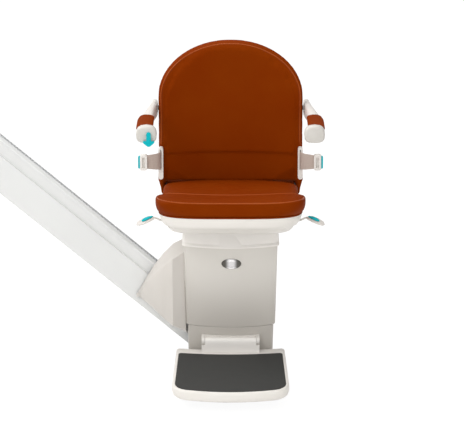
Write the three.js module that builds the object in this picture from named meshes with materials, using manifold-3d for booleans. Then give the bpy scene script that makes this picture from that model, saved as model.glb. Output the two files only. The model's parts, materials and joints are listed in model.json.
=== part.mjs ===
import * as THREE from 'three';
import { mergeVertices } from 'three/addons/utils/BufferGeometryUtils.js';
import Module from 'manifold-3d';

// Stairlift chair: a padded swivel seat with lifting arms and a folding footplate, on a motor
// carriage that climbs a sloping rail by rack and pinion. Millimetres, +Z up, the sitter faces -Y.
// The origin is on the floor, under the rail foot, in the chair's middle plane.

const wasm = await Module();
wasm.setup();

// General fits
const fit = 0.3;
const overrun = 3;
const merge_distance = 0.001;
const round_sides = 20;
const corner_steps = 3;

// Rail: an aluminium extrusion on a slope
const incline = THREE.MathUtils.degToRad(41);
const rail_height = 139;
const rail_depth = 55;
const rail_wall = 4;
const rail_corner = 4;
const rail_drop = 94;
const rail_reach = 1088;
const rail_cut_height = 12;
const groove_floor = 41;
const groove_lip = 5;
const groove_depth = 8;
const groove_steps = 3;
const groove_fullness = 1.5;
const bead_radius = 4;
const slot_height = 84;
const slot_mouth = 9;
const slot_inside = 17;
const slot_lip = 3;
const slot_depth = 10;
const cap_thickness = 3.5;

// Rack and pinion
const gear_module = 4;
const addendum_share = 0.85;
const dedendum_share = 1.25;
const pinion_teeth = 16;
const pinion_width = 14;
const pressure_angle = THREE.MathUtils.degToRad(20);
const gear_backlash = 0.6;
const rack_width = 16;
const rack_base = 6;
const rack_channel_depth = 15;
const rack_offset = 5;
const rack_end_margin = 6;
const shaft_radius = 10;

// Carriage on the rail, measured along the rail from the floor line
const carriage_place = 215;
const roller_spread = 75;
const load_roller_radius = 20;
const load_roller_width = 22;
const load_axle_radius = 8;
const side_roller_radius = 12;
const side_roller_width = 24;
const thrust_roller_radius = 15;
const thrust_roller_width = 18;
const side_axle_radius = 4;
const bore_play = 0.6;
const chassis_plate = 6;
const chassis_back = 60;

// Column and swivel
const column_half_width = 145;
const column_foot_half_width = 139;
const column_front = 184;
const column_bow = 26;
const column_back = 66.3;
const column_foot = 146;
const lower_cover_foot = 58;
const lower_cover_narrowing = 5;
const column_corner = 14;
const shell_wall = 3;
const neck_lip = 4;
const neck_lip_height = 11;
const neck_lip_slope = 6;
const neck_height = 67;
const swivel_y = -132.5;
const swivel_post_radius = 15;
const turntable_radius = 30;
const detent_radius = 38;
const ring_radius = 47;
const plunger_radius = 4;

// Seat, built flat in its own tilted frame and then leaned back
const seat_tilt = THREE.MathUtils.degToRad(8);
const seat_front = 347.5;
const seat_height = 562;
const seat_half_width = 225;
const seat_half_depth = 181.5;
const seat_roundness = 4;
const cushion_thickness = 48;
const cushion_crown = 8;
const cushion_roll = 85;
const cushion_waist_run = 15;
const cushion_waist_share = 0.138;
const pan_depth = 39;
const seat_hinge_y = -20;
const seat_hinge_drop = 22;
const seat_hinge_z = seat_height - seat_hinge_drop;

// Levels under the seat, each hung from the one above
const base_plate_drop = 85;
const turntable_gap = 3;
const neck_room = 34;
const base_plate_bottom = seat_height - base_plate_drop;
const neck_top = base_plate_bottom - turntable_gap;
const column_top = neck_top - neck_height;
const tower_top = neck_top - neck_room;

// Backrest, built upright and then leaned back
const back_lean = 0.13;
const back_foot_drop = 4.5;
const wing_drop = 38;
const wing_step = 21;
const back_widest_rise = 269;
const back_top_rise = 165;
const back_step = 1;
const back_foot_step = 13;
const back_foot = seat_height - back_foot_drop;
const wing_foot = seat_height - wing_drop;
const wing_inner = seat_half_width - wing_step;
const back_widest = seat_height + back_widest_rise;
const back_top = back_widest + back_top_rise;
const back_half_width = seat_half_width - back_step;
const back_foot_half_width = seat_half_width - back_foot_step;
const back_side_power = 3;
const shell_inset = 5.5;
const back_front = 17.5;
const back_wrap = 34;
const back_cushion_thickness = 34;
const back_shell_thickness = 8;
const shell_gap = 0.9;
const frame_plate = 6;

// Arms
const arm_pivot_rise = 210;
const arm_pivot_z = seat_height + arm_pivot_rise;
const arm_pivot_radius = 7;
const arm_room = 2.5;
const arm_inner = back_half_width + arm_room;

// Footrest
const footplate_top = 72;
const footplate_thickness = 34;
const footplate_rear = 172;
const footplate_rear_bow = 13;
const footplate_front = 513;
const footplate_rear_half_width = 169;
const footplate_front_half_width = 178;
const footplate_bow = 26;
const footplate_corner = 44;
const footplate_rear_corner = 8;
const foot_hinge_z = 108;
const foot_hinge_y = -200;
const foot_hinge_pin = 4;

// Closed solids, joined and cut

function outward(geometry) {
  const place = geometry.attributes.position;
  const index = geometry.index.array;
  const [a, b, c] = [new THREE.Vector3(), new THREE.Vector3(), new THREE.Vector3()];
  let volume = 0;
  for (let i = 0; i < index.length; i += 3) {
    a.fromBufferAttribute(place, index[i]);
    b.fromBufferAttribute(place, index[i + 1]);
    c.fromBufferAttribute(place, index[i + 2]);
    volume += a.dot(b.cross(c));
  }
  if (volume < 0) {
    for (let i = 0; i < index.length; i += 3) [index[i], index[i + 1]] = [index[i + 1], index[i]];
  }
  return geometry;
}

function closed(geometry) {
  const bare = geometry.clone();
  bare.deleteAttribute('normal');
  bare.deleteAttribute('uv');
  return outward(mergeVertices(bare, merge_distance));
}

function as_solid(geometry) {
  const body = closed(geometry);
  return new wasm.Manifold(new wasm.Mesh({
    numProp: 3,
    vertProperties: Float32Array.from(body.attributes.position.array),
    triVerts: Uint32Array.from(body.index.array),
  }));
}

function as_geometry(solid) {
  const mesh = solid.getMesh();
  const geometry = new THREE.BufferGeometry();
  geometry.setAttribute('position', new THREE.BufferAttribute(Float32Array.from(mesh.vertProperties), 3));
  geometry.setIndex(new THREE.BufferAttribute(Uint32Array.from(mesh.triVerts), 1));
  return geometry;
}

function joined(...pieces) {
  return as_geometry(pieces.map(as_solid).reduce((whole, piece) => whole.add(piece)));
}

function cut(body, ...tools) {
  return as_geometry(tools.map(as_solid).reduce((rest, tool) => rest.subtract(tool), as_solid(body)));
}

// Outlines, as lists of points in a plane

function at(x, y) {
  return new THREE.Vector2(x, y);
}

function rounded(x0, x1, y0, y1, radius, steps = corner_steps) {
  const corners = [[x1 - radius, y0 + radius, -1], [x1 - radius, y1 - radius, 0],
    [x0 + radius, y1 - radius, 1], [x0 + radius, y0 + radius, 2]];
  return corners.flatMap(([x, y, quarter]) => arc(x, y, radius, quarter, quarter + 1, steps));
}

function arc(x, y, radius, from, to, steps = corner_steps) {
  const points = [];
  for (let i = 0; i <= steps; i++) {
    const turn = (from + (to - from) * i / steps) * Math.PI / 2;
    points.push(at(x + radius * Math.cos(turn), y + radius * Math.sin(turn)));
  }
  return points;
}

function circle(x, y, radius, sides = round_sides) {
  return arc(x, y, radius, 0, 4, sides).slice(0, sides);
}

// Bars and plates along each axis; an outline along X is drawn in (y, z), along Y in (x, z)

function prism(points, depth, holes = []) {
  const shape = new THREE.Shape(points);
  shape.holes = holes.map((hole) => new THREE.Path(hole));
  return new THREE.ExtrudeGeometry(shape, { depth, bevelEnabled: false, steps: 1 });
}

function upright(points, z0, z1, holes) {
  return prism(points, z1 - z0, holes).translate(0, 0, z0);
}

function lengthwise(points, y0, y1, holes) {
  return prism(points, y1 - y0, holes).rotateX(Math.PI / 2).translate(0, y1, 0);
}

function crosswise(points, x0, x1, holes) {
  const turn = new THREE.Matrix4().makeBasis(new THREE.Vector3(0, 1, 0), new THREE.Vector3(0, 0, 1),
    new THREE.Vector3(1, 0, 0));
  return prism(points, x1 - x0, holes).applyMatrix4(turn).translate(x0, 0, 0);
}

function block(x0, x1, y0, y1, z0, z1) {
  return new THREE.BoxGeometry(x1 - x0, y1 - y0, z1 - z0)
    .translate((x0 + x1) / 2, (y0 + y1) / 2, (z0 + z1) / 2);
}

// A ring turned about an upright axis, from its bore to its outer wall, with broken edges

function turned_ring(bore, outer, length, edge) {
  const half = length / 2;
  const profile = [at(bore, -half), at(outer - edge, -half), at(outer, edge - half), at(outer, half - edge),
    at(outer - edge, half), at(bore, half), at(bore, -half)];
  return new THREE.LatheGeometry(profile, round_sides);
}

// A skin over a stack of rings with the same number of points; ring ends are closed by a zigzag
// from side to side, so a crescent section stays true

function skin(rings) {
  const count = rings[0].length;
  const faces = [];
  for (let r = 0; r + 1 < rings.length; r++) {
    for (let i = 0; i < count; i++) {
      const a = r * count + i;
      const b = r * count + (i + 1) % count;
      faces.push(a, b, b + count, a, b + count, a + count);
    }
  }
  const last = (rings.length - 1) * count;
  for (let i = 0; i < count / 2; i++) {
    const across = (count - i) % count;
    const quad = [i, i + 1, count - i - 1, across];
    for (const [p, q, s] of [[0, 1, 2], [0, 2, 3]]) {
      const face = [quad[p], quad[q], quad[s]];
      if (new Set(face).size < 3) continue;
      faces.push(face[0], face[2], face[1]);
      faces.push(last + face[0], last + face[1], last + face[2]);
    }
  }
  const geometry = new THREE.BufferGeometry();
  const places = rings.flat().flatMap((point) => [point.x, point.y, point.z]);
  geometry.setAttribute('position', new THREE.Float32BufferAttribute(places, 3));
  geometry.setIndex(faces);
  return outward(geometry);
}

// A point on a rounded box of half sizes a and b, whose corners fill out as the power grows

function box_curve(turn, a, b, power) {
  const side = (value) => Math.sign(value) * Math.abs(value) ** (2 / power);
  return at(a * side(Math.cos(turn)), b * side(Math.sin(turn)));
}

function box_ring(count, a, b, power, place) {
  const ring = [];
  for (let i = 0; i < count; i++) {
    const point = box_curve(2 * Math.PI * i / count, a, b, power);
    ring.push(place(point.x, point.y));
  }
  return ring;
}

function mirrored(geometry) {
  const flipped = geometry.clone().scale(-1, 1, 1);
  if (!flipped.index) return closed(flipped);
  return outward(flipped);
}

// The assembly

const stairlift = new THREE.Group();
const rail_frame = new THREE.Group();
rail_frame.position.z = -rail_drop;
rail_frame.rotation.y = incline;
const seat_frame_group = new THREE.Group();
seat_frame_group.position.set(0, -seat_front, seat_height);
seat_frame_group.rotation.x = -seat_tilt;
stairlift.add(rail_frame, seat_frame_group);

const finishes = {
  white: ['#e5e1dc', 0.45, 0],
  grey_white: ['#d3cfc9', 0.5, 0],
  rail_white: ['#e6e7e6', 0.4, 0.3],
  steel: ['#8d9196', 0.4, 0.9],
  black_steel: ['#35373a', 0.55, 0.6],
  zinc: ['#b9bcc0', 0.35, 0.9],
  rubber: ['#2f2f2e', 0.85, 0],
  mat: ['#474745', 0.8, 0],
  leather: ['#7e2d04', 0.5, 0],
  teal: ['#12b8c6', 0.4, 0],
  webbing: ['#b5a69c', 0.9, 0],
  black_plastic: ['#232427', 0.6, 0],
  circuit: ['#1f5a3a', 0.6, 0],
};

function add(name, finish, geometry, parent = stairlift) {
  const [color, roughness, metalness] = finishes[finish];
  const mesh = new THREE.Mesh(geometry, new THREE.MeshStandardMaterial({ color, roughness, metalness }));
  mesh.name = name;
  parent.add(mesh);
  return mesh;
}

// Rail

const half_depth = rail_depth / 2;
const rack_front = rack_offset;
const rack_back = rack_front + rack_width;
const rack_seat = rail_height - rack_channel_depth;

function rail_outline() {
  const slot_half = slot_mouth / 2;
  const slot_room = slot_inside / 2;
  const bead_centre = rail_height - groove_floor - bead_radius;
  const groove = [];
  for (let i = 0; i <= groove_steps; i++) {
    const turn = i / groove_steps * Math.PI / 2;
    groove.push(at(-half_depth + groove_depth * Math.cos(turn) ** groove_fullness,
      rail_height - groove_floor + (groove_floor - groove_lip) * Math.sin(turn)));
  }
  return [
    ...arc(-half_depth + rail_corner, rail_corner, rail_corner, 3, 2),
    ...arc(-half_depth + bead_radius, bead_centre, bead_radius, 2, 1),
    ...groove,
    ...arc(-half_depth + rail_corner, rail_height - rail_corner, rail_corner, 2, 1).slice(1),
    at(rack_front - fit, rail_height), at(rack_front - fit, rack_seat),
    at(rack_back + fit, rack_seat), at(rack_back + fit, rail_height),
    ...arc(half_depth - rail_corner, rail_height - rail_corner, rail_corner, 1, 0),
    at(half_depth, slot_height + slot_half), at(half_depth - slot_lip, slot_height + slot_half),
    at(half_depth - slot_lip, slot_height + slot_room), at(half_depth - slot_depth, slot_height + slot_room),
    at(half_depth - slot_depth, slot_height - slot_room), at(half_depth - slot_lip, slot_height - slot_room),
    at(half_depth - slot_lip, slot_height - slot_half), at(half_depth, slot_height - slot_half),
    ...arc(half_depth - rail_corner, rail_corner, rail_corner, 0, -1),
  ];
}

const rail_cells = [
  rounded(rail_wall - half_depth, half_depth - rail_wall, rail_wall,
    slot_height - slot_inside / 2 - 2 * rail_wall, rail_corner, 1),
  rounded(groove_depth + rail_wall - half_depth, half_depth - slot_depth - rail_wall,
    slot_height - slot_inside / 2 - rail_wall, rack_seat - rail_wall, rail_corner, 1),
];

// The lower end is sawn level with the floor, so its end ring is moved onto that plane

function level_end(w) {
  return (w * Math.cos(incline) - rail_drop - rail_cut_height) / Math.sin(incline);
}

function rail_body() {
  const geometry = crosswise(rail_outline(), -rail_reach, 0, rail_cells);
  const place = geometry.attributes.position;
  for (let i = 0; i < place.count; i++) {
    if (place.getX(i) > -rail_reach / 2) place.setX(i, level_end(place.getZ(i)));
  }
  return closed(geometry);
}

add('rail', 'rail_white', rail_body(), rail_frame);

// Gear rack: a steel bar of straight-sided teeth, bolted into the channel along the rail's top

const pitch = Math.PI * gear_module;
const addendum = addendum_share * gear_module;
const dedendum = dedendum_share * gear_module;
const rack_bottom = rack_seat + fit;
const rack_root = rack_bottom + rack_base;
const pitch_line = rack_root + dedendum;

function rack_bar() {
  const low = -rail_reach + rack_end_margin;
  const high = level_end(rail_height) - rack_end_margin - load_roller_radius;
  const flank = Math.tan(pressure_angle);
  const half_tooth = pitch / 4;
  const points = [at(low, rack_bottom)];
  const first = Math.ceil((low + carriage_place) / pitch);
  const last = Math.floor((high + carriage_place) / pitch) - 1;
  points.push(at(low, rack_root));
  for (let k = first; k <= last; k++) {
    const centre = (k + 0.5) * pitch - carriage_place;
    const root = half_tooth + dedendum * flank;
    const tip = half_tooth - addendum * flank;
    points.push(at(centre - root, rack_root), at(centre - tip, pitch_line + addendum),
      at(centre + tip, pitch_line + addendum), at(centre + root, rack_root));
  }
  points.push(at(high, rack_root), at(high, rack_bottom));
  return lengthwise(points, rack_front, rack_back);
}

add('gear_rack', 'steel', rack_bar(), rail_frame);

// Rail foot: a floor plate with a gusset bolted to the T-slot in the rail's back

const foot_half_width = 60;
const foot_front = 20;
const foot_back = 100;
const foot_plate = 6;
const gusset_top = 98;
const gusset_low = 55;
const gusset_high = 36;
const tread_slot_width = 9;
const tread_slot_length = 30;
const tread_slot_y = 72;
const tread_slot_x = 34;
const slot_end_share = 0.498;

function rail_line_z(x, w) {
  return (w - Math.sin(incline) * x) / Math.cos(incline) - rail_drop;
}

function rail_foot() {
  const plate = upright(rounded(-foot_half_width, foot_half_width, -foot_front, foot_back, 2 * foot_plate),
    0, foot_plate);
  const web = [at(-gusset_low, 0), at(gusset_high, 0), at(gusset_high, foot_plate + overrun),
    at(-gusset_low, rail_line_z(-gusset_low, gusset_top))];
  const rib = [at(half_depth + fit + foot_plate - overrun, 0), at(foot_back - foot_plate, 0),
    at(foot_back - foot_plate, foot_plate + overrun),
    at(half_depth + fit + foot_plate - overrun, rail_line_z(-gusset_low, gusset_top) - 2 * foot_plate)];
  const slots = [-1, 1].map((side) => {
    const x = side * tread_slot_x;
    return upright(rounded(x - tread_slot_width / 2, x + tread_slot_width / 2,
      tread_slot_y - tread_slot_length / 2, tread_slot_y + tread_slot_length / 2,
      tread_slot_width * slot_end_share), -overrun, foot_plate + overrun);
  });
  return cut(joined(plate, lengthwise(web, half_depth + fit, half_depth + fit + foot_plate),
    crosswise(rib, -gusset_low, foot_plate - gusset_low)), ...slots);
}

add('rail_foot', 'zinc', rail_foot());

// End caps: moulded plugs that close the extrusion

function lower_end_cap() {
  const start = Math.cos(incline) * level_end(0);
  const end = Math.cos(incline) * level_end(rail_height) + Math.sin(incline) * rail_height;
  return upright(rounded(start, end, -half_depth, half_depth, rail_corner),
    rail_cut_height - fit - cap_thickness, rail_cut_height - fit);
}

add('lower_end_cap', 'rail_white', lower_end_cap());
add('upper_end_cap', 'rail_white',
  crosswise(rail_outline(), -rail_reach - fit - cap_thickness, -rail_reach - fit), rail_frame);

// Rubber stop on the rail's top, which the lower load roller meets at the bottom of the run

const stop_height = 26;
const stop_length = 26;
const stop_start = -carriage_place + roller_spread + load_roller_radius + fit;

function end_stop() {
  const points = [at(stop_start, rail_height + fit), at(stop_start + stop_length, rail_height + fit),
    at(stop_start + stop_length, rail_height + stop_height / 2),
    at(stop_start + stop_length / 2, rail_height + stop_height), at(stop_start, rail_height + stop_height)];
  return lengthwise(points, rail_corner - half_depth, rack_front - rail_wall);
}

add('lower_end_stop', 'rubber', end_stop(), rail_frame);

// Carriage chassis: a steel plate before the rail, with two hoops that reach over to the back

const load_axle_height = rail_height + fit + load_roller_radius;
const pinion_radius = gear_module * pinion_teeth / 2;
const pinion_height = pitch_line + pinion_radius + fit / 2;
const hoop_height = load_axle_height + load_roller_radius + chassis_plate;
const hoop_width = 30;
const hoop_back = 54;
const side_axle_y = half_depth + fit + side_roller_radius;
const side_axle_mid = 118;
const thrust_axle_y = -(half_depth + fit + thrust_roller_radius);
const thrust_axle_mid = 83;
const lug_thickness = 3.5;
const chassis_foot = 66;
const chassis_ahead = 96;
const chassis_behind = 108;
const lug_share = 2.2;

function chassis() {
  const front = -chassis_back - chassis_plate;
  const place = -carriage_place;
  const parts = [lengthwise(rounded(place - chassis_behind, place + chassis_ahead, chassis_foot,
    hoop_height + chassis_plate, 2 * chassis_plate), front, -chassis_back)];
  for (const side of [-1, 1]) {
    const x = place + side * roller_spread;
    const hoop = [at(front, hoop_height), at(front, hoop_height + chassis_plate),
      at(hoop_back + chassis_plate, hoop_height + chassis_plate),
      at(hoop_back + chassis_plate, side_axle_mid - side_roller_width / 2 - lug_thickness - fit),
      at(hoop_back, side_axle_mid - side_roller_width / 2 - lug_thickness - fit), at(hoop_back, hoop_height)];
    parts.push(crosswise(hoop, x - hoop_width / 2, x + hoop_width / 2));
    parts.push(lengthwise(circle(x, load_axle_height, load_axle_radius), -chassis_back - chassis_plate / 2,
      load_roller_width / 2 - half_depth / 2 + fit));
    for (const end of [-1, 1]) {
      const hook_lug = side_axle_mid + end * (side_roller_width / 2 + fit + lug_thickness / 2);
      parts.push(upright(lug_outline(x, side_axle_y, hoop_back + chassis_plate / 2, side_axle_radius),
        hook_lug - lug_thickness / 2, hook_lug + lug_thickness / 2));
      const thrust_lug = thrust_axle_mid + end * (thrust_roller_width / 2 + fit + lug_thickness / 2);
      parts.push(upright(lug_outline(x, thrust_axle_y, -chassis_back - chassis_plate / 2, side_axle_radius),
        thrust_lug - lug_thickness / 2, thrust_lug + lug_thickness / 2));
    }
    parts.push(upright(circle(x, side_axle_y, side_axle_radius, 12),
      side_axle_mid - side_roller_width / 2 - lug_thickness, side_axle_mid + side_roller_width / 2 + lug_thickness));
    parts.push(upright(circle(x, thrust_axle_y, side_axle_radius, 12),
      thrust_axle_mid - thrust_roller_width / 2 - lug_thickness,
      thrust_axle_mid + thrust_roller_width / 2 + lug_thickness));
  }
  const bush = lengthwise(circle(place, pinion_height, shaft_radius + bore_play), front - overrun,
    overrun - chassis_back);
  return cut(joined(...parts), bush);
}

// A lug that holds an axle, run back to the plate that carries it

function lug_outline(x, axle_y, root_y, radius) {
  const half = radius * lug_share;
  const away = Math.sign(axle_y - root_y) * half;
  return [at(x - half, root_y), at(x + half, root_y), at(x + half, axle_y), at(x + half / 2, axle_y + away),
    at(x - half / 2, axle_y + away), at(x - half, axle_y)];
}

add('carriage_chassis', 'black_steel', chassis(), rail_frame);

// Rollers

const roller_edge = 1.5;

function add_rollers() {
  const load = turned_ring(load_axle_radius + bore_play, load_roller_radius, load_roller_width, roller_edge);
  const hook = turned_ring(side_axle_radius + bore_play, side_roller_radius, side_roller_width, roller_edge)
    .rotateX(Math.PI / 2);
  const thrust = turned_ring(side_axle_radius + bore_play, thrust_roller_radius, thrust_roller_width,
    roller_edge).rotateX(Math.PI / 2);
  for (const [side, word] of [[-1, 'upper'], [1, 'lower']]) {
    const x = -carriage_place + side * roller_spread;
    add('load_roller_' + word, 'rubber', closed(load), rail_frame).position.set(x, -half_depth / 2, load_axle_height);
    add('hook_roller_' + word, 'rubber', closed(hook), rail_frame).position.set(x, side_axle_y, side_axle_mid);
    add('thrust_roller_' + word, 'rubber', closed(thrust), rail_frame)
      .position.set(x, thrust_axle_y, thrust_axle_mid);
  }
}

add_rollers();

// Drive pinion and its shaft, with involute teeth in mesh with the rack

const gearbox_standoff = 6.5;
const shaft_in_gearbox = 30;
const gearbox_back = chassis_back + chassis_plate + gearbox_standoff;
const shaft_end = gearbox_back + shaft_in_gearbox;

function pinion() {
  const base = pinion_radius * Math.cos(pressure_angle);
  const tip = pinion_radius + addendum;
  const root = pinion_radius - dedendum;
  const involute = (radius) => {
    const reach = Math.sqrt(Math.max(0, (radius / base) ** 2 - 1));
    return reach - Math.atan(reach);
  };
  const half_angle = (pitch / 2 - gear_backlash) / 2 / pinion_radius + involute(pinion_radius);
  const points = [];
  for (let tooth = 0; tooth < pinion_teeth; tooth++) {
    const centre = -Math.PI / 2 + tooth * 2 * Math.PI / pinion_teeth;
    const radii = [root, base, (base + tip) / 2, tip];
    for (const side of [-1, 1]) {
      for (const radius of side < 0 ? radii : [...radii].reverse()) {
        const turn = centre + side * (half_angle - involute(radius));
        points.push(at(radius * Math.cos(turn), radius * Math.sin(turn)));
      }
    }
  }
  const start = (rack_front + rack_back - pinion_width) / 2;
  return joined(lengthwise(points, start, start + pinion_width),
    lengthwise(circle(0, 0, shaft_radius), -shaft_end, start + pinion_width + rail_wall));
}

add('drive_pinion', 'steel', pinion(), rail_frame).position.set(-carriage_place, 0, pinion_height);

// Drive unit: worm gearbox and upright motor, in front of the chassis

const drive_x = Math.sin(incline) * pinion_height - Math.cos(incline) * carriage_place;
const drive_z = Math.cos(incline) * pinion_height + Math.sin(incline) * carriage_place - rail_drop;
const tower_half = 116;
const tower_sheet = 4;
const gearbox_half = 42;
const gearbox_depth = 62;
const gearbox_corner = 14;
const flange_radius = 34;
const lid_thickness = 4;
const motor_radius = 33;
const motor_side_room = 2.6;
const motor_x = motor_radius + motor_side_room + tower_sheet / 2 - tower_half;
const motor_ahead = 3;
const motor_step = 4;
const motor_can_share = 0.72;
const motor_band_share = 0.02;
const motor_cap_share = 0.94;
const motor_y = -(gearbox_back + gearbox_depth / 2 + motor_ahead);
const tower_nose_top = 150;
const tower_rise = tower_top - tower_nose_top;
const motor_height_share = 0.455;
const motor_height = tower_rise * motor_height_share;

function gearbox() {
  const body = lengthwise(rounded(-gearbox_half, gearbox_half, -gearbox_half, gearbox_half, gearbox_corner),
    -gearbox_back - gearbox_depth, -gearbox_back);
  const flange = lengthwise(circle(0, 0, flange_radius), -gearbox_back - overrun,
    -chassis_back - chassis_plate - fit);
  const lid = lengthwise(circle(0, 0, flange_radius - lid_thickness), -gearbox_back - gearbox_depth - lid_thickness,
    overrun - gearbox_back - gearbox_depth);
  const bore = lengthwise(circle(0, 0, shaft_radius + bore_play), -shaft_end - fit, overrun - chassis_back);
  return cut(joined(body, flange, lid), bore).translate(drive_x, 0, drive_z);
}

add('gearbox', 'steel', gearbox());

function motor() {
  const can_top = motor_height * motor_can_share;
  const cap_radius = motor_radius - overrun;
  const steps = [at(0, 0), at(motor_radius - motor_step, 0), at(motor_radius - motor_step, 2 * motor_step),
    at(motor_radius, 2 * motor_step), at(motor_radius, can_top),
    at(cap_radius, can_top + motor_height * motor_band_share), at(cap_radius, motor_height * motor_cap_share),
    at(cap_radius - 1.5 * motor_step, motor_height), at(0, motor_height)];
  return closed(new THREE.LatheGeometry(steps, round_sides)).rotateX(Math.PI / 2);
}

add('motor', 'black_steel', motor()).position.set(motor_x, motor_y, drive_z + gearbox_half + fit);

// Tower frame: the folded steel upright that carries the drive, batteries, seat and footrest

const tower_back = chassis_back + chassis_plate + fit;
const tower_flange = 150;
const tower_flange_foot = 107;
const tower_foot = 92;
const tower_nose = 158;
const nose_room = 1.6;
const tower_nose_half = gearbox_half - drive_x + nose_room + tower_sheet;
const tower_weld = 1;
const flange_room = 2;
const top_overhang = 6;
const window_share = 1 / 3;
const window_low_share = 0.31;
const window_high = 30;
const window_corner = 12;
const shelf_share = 0.345;
const shelf_height = tower_nose_top + tower_rise * shelf_share;
const shelf_start = -30;
const shelf_overhang = 8;
const ring_bottom = tower_top + tower_sheet + fit;
const ring_thickness = 6;

function tower() {
  const window = rounded(-tower_half * window_share, tower_half * window_share, shelf_height + tower_rise * window_low_share,
    tower_top - window_high, window_corner);
  const web = lengthwise(rounded(-tower_half, tower_half, tower_foot, tower_top, tower_sheet),
    -tower_back - tower_sheet, -tower_back, [circle(drive_x, drive_z, flange_radius + flange_room), window]);
  const flange = [at(-tower_back, tower_foot), at(-tower_flange_foot, tower_foot), at(-tower_flange, tower_nose_top),
    at(-tower_flange, tower_top), at(-tower_back, tower_top)];
  const cheek = [at(-tower_back, tower_foot), at(-tower_nose, tower_foot), at(-tower_nose, tower_nose_top),
    at(-tower_back, tower_nose_top)];
  const nose = lengthwise(rounded(-tower_nose_half, tower_nose_half, tower_foot, tower_nose_top, tower_sheet),
    -tower_nose, tower_sheet - tower_nose);
  const top = upright(rounded(-tower_half - tower_sheet / 2, tower_half + tower_sheet / 2,
    -tower_flange - top_overhang, -tower_back, tower_sheet), tower_top - tower_weld, tower_top + tower_sheet);
  const shelf = block(shelf_start, tower_half, -tower_flange - shelf_overhang, -tower_back - tower_weld,
    shelf_height - tower_sheet, shelf_height);
  const parts = [web, nose, top, shelf];
  for (const side of [-1, 1]) {
    const cheek_x = side * (tower_nose_half - tower_sheet / 2);
    parts.push(crosswise(cheek, cheek_x - tower_sheet / 2, cheek_x + tower_sheet / 2),
      crosswise(flange, side * tower_half - tower_sheet / 2, side * tower_half + tower_sheet / 2));
  }
  return joined(...parts);
}

add('tower_frame', 'zinc', tower());

// Two sealed lead batteries side by side on the shelf

const battery_width = 65;
const battery_depth = 94;
const battery_height_share = 0.52;
const battery_height = tower_rise * battery_height_share;
const battery_corner = 4;
const battery_gap = 1;
const battery_side_gap = 4;
const terminal = 6;
const terminal_inset = 8;
const terminal_shares = [0.2, 0.8];

function battery() {
  const body = upright(rounded(0, battery_width, -battery_depth, 0, battery_corner, 1), 0, battery_height);
  const terminals = terminal_shares.map((share) => block(battery_width * share - terminal / 2,
    battery_width * share + terminal / 2, terminal_inset - battery_depth,
    terminal_inset + terminal - battery_depth, battery_height - battery_gap, battery_height + terminal));
  return joined(body, ...terminals);
}

for (const [word, place] of [['left', 2], ['right', 1]]) {
  add('battery_' + word, 'black_plastic', battery()).position.set(
    tower_half - tower_sheet / 2 - battery_side_gap - place * (battery_width + battery_gap),
    -tower_back - tower_sheet - battery_gap, shelf_height + fit);
}

// Control board on four spacers, low in the tower

const board_width = 90;
const board_height_share = 0.27;
const board_height = tower_rise * board_height_share;
const board_thickness = 2;
const board_standoff = 8;
const board_above_nose = 8;
const spacer_radius = 3;
const spacer_shares = [0.1, 0.9];
const capacitor = { width: 26, height: 30, depth: 16, shares: [0.3, 0.3] };
const relay = { width: 20, height: 20, depth: 22, shares: [0.7, 0.35] };
const connector = { width: 50, height: 12, depth: 10, shares: [0.5, 0.72] };

function control_board() {
  const left = tower_half - tower_sheet - battery_side_gap - board_width;
  const back = -tower_back - tower_sheet - fit;
  const low = tower_nose_top + board_above_nose;
  const face = back - board_standoff - board_thickness / 2;
  const parts = [lengthwise(rounded(left, left + board_width, low, low + board_height, board_thickness, 1),
    face - board_thickness / 2, face + board_thickness / 2)];
  for (const across of spacer_shares) {
    for (const along of spacer_shares) {
      parts.push(lengthwise(circle(left + board_width * across, low + board_height * along, spacer_radius, 8),
        face, back));
    }
  }
  for (const { width, height, depth, shares } of [capacitor, relay, connector]) {
    const x = left + board_width * shares[0];
    const z = low + board_height * shares[1];
    parts.push(block(x - width / 2, x + width / 2, face - depth, face, z - height / 2, z + height / 2));
  }
  return joined(...parts);
}

add('control_board', 'circuit', control_board());

// Column covers: thin mouldings with a bowed front, open at the back

const bow_steps = 8;
const corner_run_share = 0.6;
const corner_turn_shares = [0.2, 0.3];
const cover_chamfer = 1.5;
const neck_over = 1;

function column_plan(half_width, inset, back) {
  const half = half_width - inset;
  const side_front = -(column_front - column_bow) + inset;
  const [turn_x, turn_y] = corner_turn_shares.map((share) => column_corner * share);
  const ring = [];
  for (let i = 0; i <= bow_steps; i++) {
    const x = (2 * i / bow_steps - 1) * (half - column_corner * corner_run_share);
    ring.push(at(x, side_front - column_bow * (1 - (x / half) ** 2)));
  }
  const drop = ring[0].y;
  ring.unshift(at(-half, drop + column_corner), at(turn_x - half, drop + turn_y));
  ring.push(at(half - turn_x, drop + turn_y), at(half, drop + column_corner), at(half, back), at(-half, back));
  return ring;
}

function stacked(rows) {
  return skin(rows.map(([plan, z]) => plan.map((point) => new THREE.Vector3(point.x, point.y, z))));
}

function column_half(z) {
  const share = (z - column_foot) / (column_top - column_foot);
  return THREE.MathUtils.lerp(column_foot_half_width, column_half_width, share);
}

function cover(foot, top, narrowing, chamfer) {
  const half = (z) => column_half(z) - narrowing;
  const outer = stacked([[column_plan(half(foot), 0, -column_back), foot],
    [column_plan(half(top - chamfer), 0, -column_back), top - chamfer],
    [column_plan(half(top), chamfer, -column_back), top]]);
  const inner = stacked([
    [column_plan(half(foot), shell_wall, overrun - column_back), foot - overrun],
    [column_plan(half(top), shell_wall, overrun - column_back), top + overrun]]);
  return cut(outer, inner);
}

add('front_cover', 'grey_white', cover(column_foot + fit, column_top - fit, 0, cover_chamfer));
add('lower_cover', 'grey_white', cover(lower_cover_foot, column_foot - fit, lower_cover_narrowing, cover_chamfer));

// Neck: the fixed hood on top of the column, with the turntable's hole in its roof

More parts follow.
